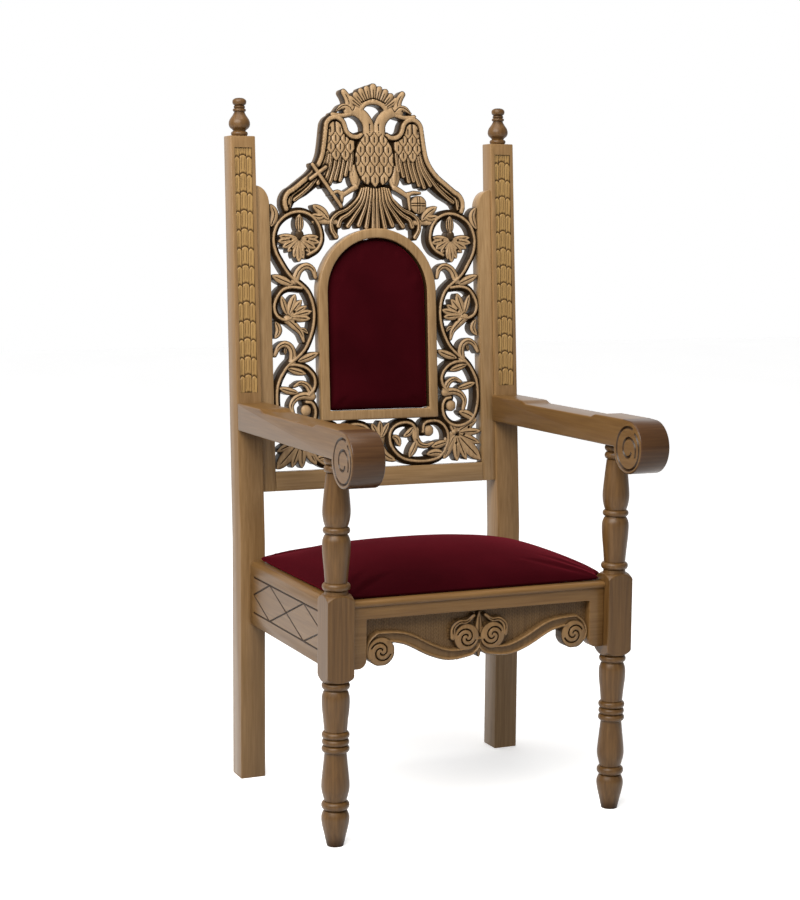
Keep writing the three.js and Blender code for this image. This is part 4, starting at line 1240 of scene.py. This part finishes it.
def stuffed(name, mesh, material, hold, most_move):
    """A padded piece: voxels over a domed form, then cloth blown up a little by its stuffing."""
    piece = add_object(name, mesh, material, 180)
    remesh = piece.modifiers.new("even", "REMESH")
    remesh.mode = "VOXEL"
    remesh.voxel_size = 0.006
    bake(piece)
    even = piece.modifiers.new("soft", "SMOOTH")
    even.factor = 0.5
    even.iterations = 3
    bake(piece)
    before = np.empty(3 * len(piece.data.vertices), np.float32)
    piece.data.vertices.foreach_get("co", before)
    before = before.reshape(-1, 3)
    group = piece.vertex_groups.new(name="held")
    group.add([i for i, point in enumerate(before) if hold(point)], 1.0, "REPLACE")
    cloth = piece.modifiers.new("stuffing", "CLOTH")
    cloth.settings.vertex_group_mass = "held"
    cloth.settings.use_pressure = True
    cloth.settings.uniform_pressure_force = 4.0
    cloth.settings.tension_stiffness = 30
    cloth.settings.compression_stiffness = 30
    cloth.settings.effector_weights.gravity = 0
    cloth.collision_settings.use_collision = False
    scene = bpy.context.scene
    for step in range(1, 21):
        scene.frame_set(step)
    bake(piece)
    scene.frame_set(1)
    after = np.empty(before.size, np.float32)
    piece.data.vertices.foreach_get("co", after)
    move = after.reshape(-1, 3) - before
    length = np.linalg.norm(move, axis=1, keepdims=True)
    move *= np.minimum(1, most_move * MM / np.maximum(length, 1e-9))
    piece.data.vertices.foreach_set("co", (before + move).ravel())
    piece.vertex_groups.clear()
    finish = piece.modifiers.new("finish", "SUBSURF")
    finish.levels = finish.render_levels = 1
    bake(piece)
    piece.data.shade_smooth()
    return piece


def seat():
    notch_x = FRONT_X - FRONT_SIDE / 2 - 1.5
    notch_y = FRONT_Y + FRONT_SIDE / 2 + 1.5
    right = [[notch_x, SEAT_FRONT], [notch_x, notch_y], [SEAT_HALF, notch_y], [SEAT_HALF, SEAT_BACK - 2]]
    left = [[-x, y] for x, y in reversed(right)]
    middle = (SEAT_FRONT + SEAT_BACK) / 2
    base = RAIL_TOP + 0.4
    edge, edge_round, clearance, crown = 12, 12, 1.5, 42.5
    r = Relief((-SEAT_HALF - 3, SEAT_FRONT - 3), (SEAT_HALF + 3, SEAT_BACK + 3), 3.0)
    r.board(right + left, edge)
    r.inside -= clearance
    across = np.minimum(np.abs(r.x) / SEAT_HALF, 1)
    deep = np.minimum(np.abs(r.z - middle) / (SEAT_BACK - middle), 1)
    rim = np.clip(r.inside / edge_round, 0, 1)
    dome = ((1 - across**2.3) * (1 - deep**2.3)) ** 0.72
    r.level = edge * np.sqrt(1 - (1 - rim) ** 2) + crown * dome
    mesh = r.mesh("seat_pad", upright, base=base)
    piece = stuffed("seat_pad", mesh, SEAT_VELVET, lambda p: p[2] < (base + 6) * MM, 3.0)
    stand_for(piece, "velvet", "seat_cushion")


def back_pad():
    outline = finer(arch_outline(ARCH_INNER + 0.5, ARCH_BOTTOM + ARCH_OUTER - ARCH_INNER - 0.5), 12)
    middle = (ARCH_BOTTOM + ARCH_SPRING + ARCH_INNER) / 2
    back = -PAD_FRONT - PAD_THICK + 1
    swell = [(1, -4), (0.99, -1), (0.97, 2), (0.92, 4.5), (0.8, 6.4), (0.6, 7.6), (0.35, 8.2), (0.1, 8.4)]
    levels = [(0.995, back)] + [(size, rise - PAD_FRONT) for size, rise in swell]
    rings = []
    for size, level in levels:
        drawn = (outline - (0, middle)) * size + (0, middle)
        rings.append(leaned(at_level(drawn, level)))
    slope = Vector((0, math.cos(RAKE), -math.sin(RAKE)))
    limit = max(Vector(p).dot(slope) for p in rings[0]) - 12 * MM
    mesh = loft_mesh("arch_pad", rings)
    piece = stuffed("arch_pad", mesh, BACK_VELVET, lambda p: Vector(p).dot(slope) > limit, 1.5)
    stand_for(piece, "velvet", "back_pad")


seat()
back_pad()

# Light, floor and camera


WARM = (1.0, 0.97, 0.92)


def area_light(name, place, target, size, power, colour):
    light = bpy.data.lights.new(name, "AREA")
    light.size = size
    light.energy = power
    light.color = colour
    lamp = bpy.data.objects.new(name, light)
    lamp.location = place
    lamp.rotation_mode = "QUATERNION"
    lamp.rotation_quaternion = (Vector(target) - Vector(place)).to_track_quat("-Z", "Y")
    bpy.context.scene.collection.objects.link(lamp)


def sky():
    """White behind the chair and dimmer towards the front, so that the light comes from the lamps."""
    world = bpy.data.worlds.new("studio")
    world.use_nodes = True
    tree = world.node_tree
    where = tree.nodes.new("ShaderNodeTexCoord")
    split = tree.nodes.new("ShaderNodeSeparateXYZ")
    tree.links.new(where.outputs["Generated"], split.inputs["Vector"])
    shift = tree.nodes.new("ShaderNodeMapRange")
    set_inputs(shift, {"From Min": 0.3, "From Max": 0.72})
    tree.links.new(split.outputs["Y"], shift.inputs["Value"])
    shade = ramp(tree, shift.outputs["Result"], [(0.0, (0.38, 0.38, 0.38)), (1.0, (1.0, 1.0, 1.0))])
    tree.links.new(shade, tree.nodes["Background"].inputs["Color"])
    return world


def studio():
    scene = bpy.context.scene
    scene.world = sky()
    scene.view_settings.view_transform = "Standard"
    middle = (0, 0, 0.8)
    area_light("key", (-2.6, -1.1, 2.9), (0, 0.2, 1.1), 1.8, 105, WARM)
    area_light("back panel", (-1.3, -1.9, 2.7), (0, 0.3, 1.1), 1.2, 50, WARM)
    area_light("top", (-0.4, -0.1, 3.6), middle, 2.2, 45, WARM)
    material, tree, shader = node_tree("floor")
    cloud = grain_noise(tree, (1, 1, 1), 1.5, 2.0)
    shade = ramp(tree, cloud, [(0.3, (0.92, 0.92, 0.92)), (0.7, (0.95, 0.95, 0.95))])
    tree.links.new(shade, shader.inputs["Base Color"])
    glow = {"Emission Color": (1, 1, 1, 1), "Emission Strength": 0.5}
    set_inputs(shader, {"Roughness": 0.8, "Specular IOR Level": 0.1, **glow})
    mesh = bpy.data.meshes.new("floor")
    size = 14
    mesh.from_pydata(at_level(rectangle(-size, -size, size, size), 0).tolist(), [], [(0, 1, 2, 3)])
    mesh.materials.append(material)
    floor = bpy.data.objects.new("floor", mesh)
    # The floor shows shadows but throws no light back up onto the chair
    floor.visible_diffuse = False
    scene.collection.objects.link(floor)


CAMERA_PLACE = (-1.4723, -3.1415, 1.0993)
CAMERA_PAN, CAMERA_TILT, CAMERA_ROLL = 0.4186, 0.1174, -0.0081
CAMERA_LENS, CAMERA_SENSOR = 47.858, 24


def camera():
    pan, tilt, roll = CAMERA_PAN, CAMERA_TILT, CAMERA_ROLL
    forward = Vector((math.sin(pan) * math.cos(tilt), math.cos(pan) * math.cos(tilt), -math.sin(tilt)))
    right = Vector((math.cos(pan), -math.sin(pan), 0))
    down = forward.cross(right)
    turned_right = right * math.cos(roll) + down * math.sin(roll)
    turned_down = down * math.cos(roll) - right * math.sin(roll)
    data = bpy.data.cameras.new("camera")
    data.sensor_fit = "VERTICAL"
    data.sensor_height = CAMERA_SENSOR
    data.lens = CAMERA_LENS
    eye = bpy.data.objects.new("camera", data)
    axes = Matrix((turned_right, -turned_down, -forward)).transposed()
    eye.matrix_world = Matrix.Translation(CAMERA_PLACE) @ axes.to_4x4()
    bpy.context.scene.collection.objects.link(eye)
    bpy.context.scene.camera = eye


studio()
camera()
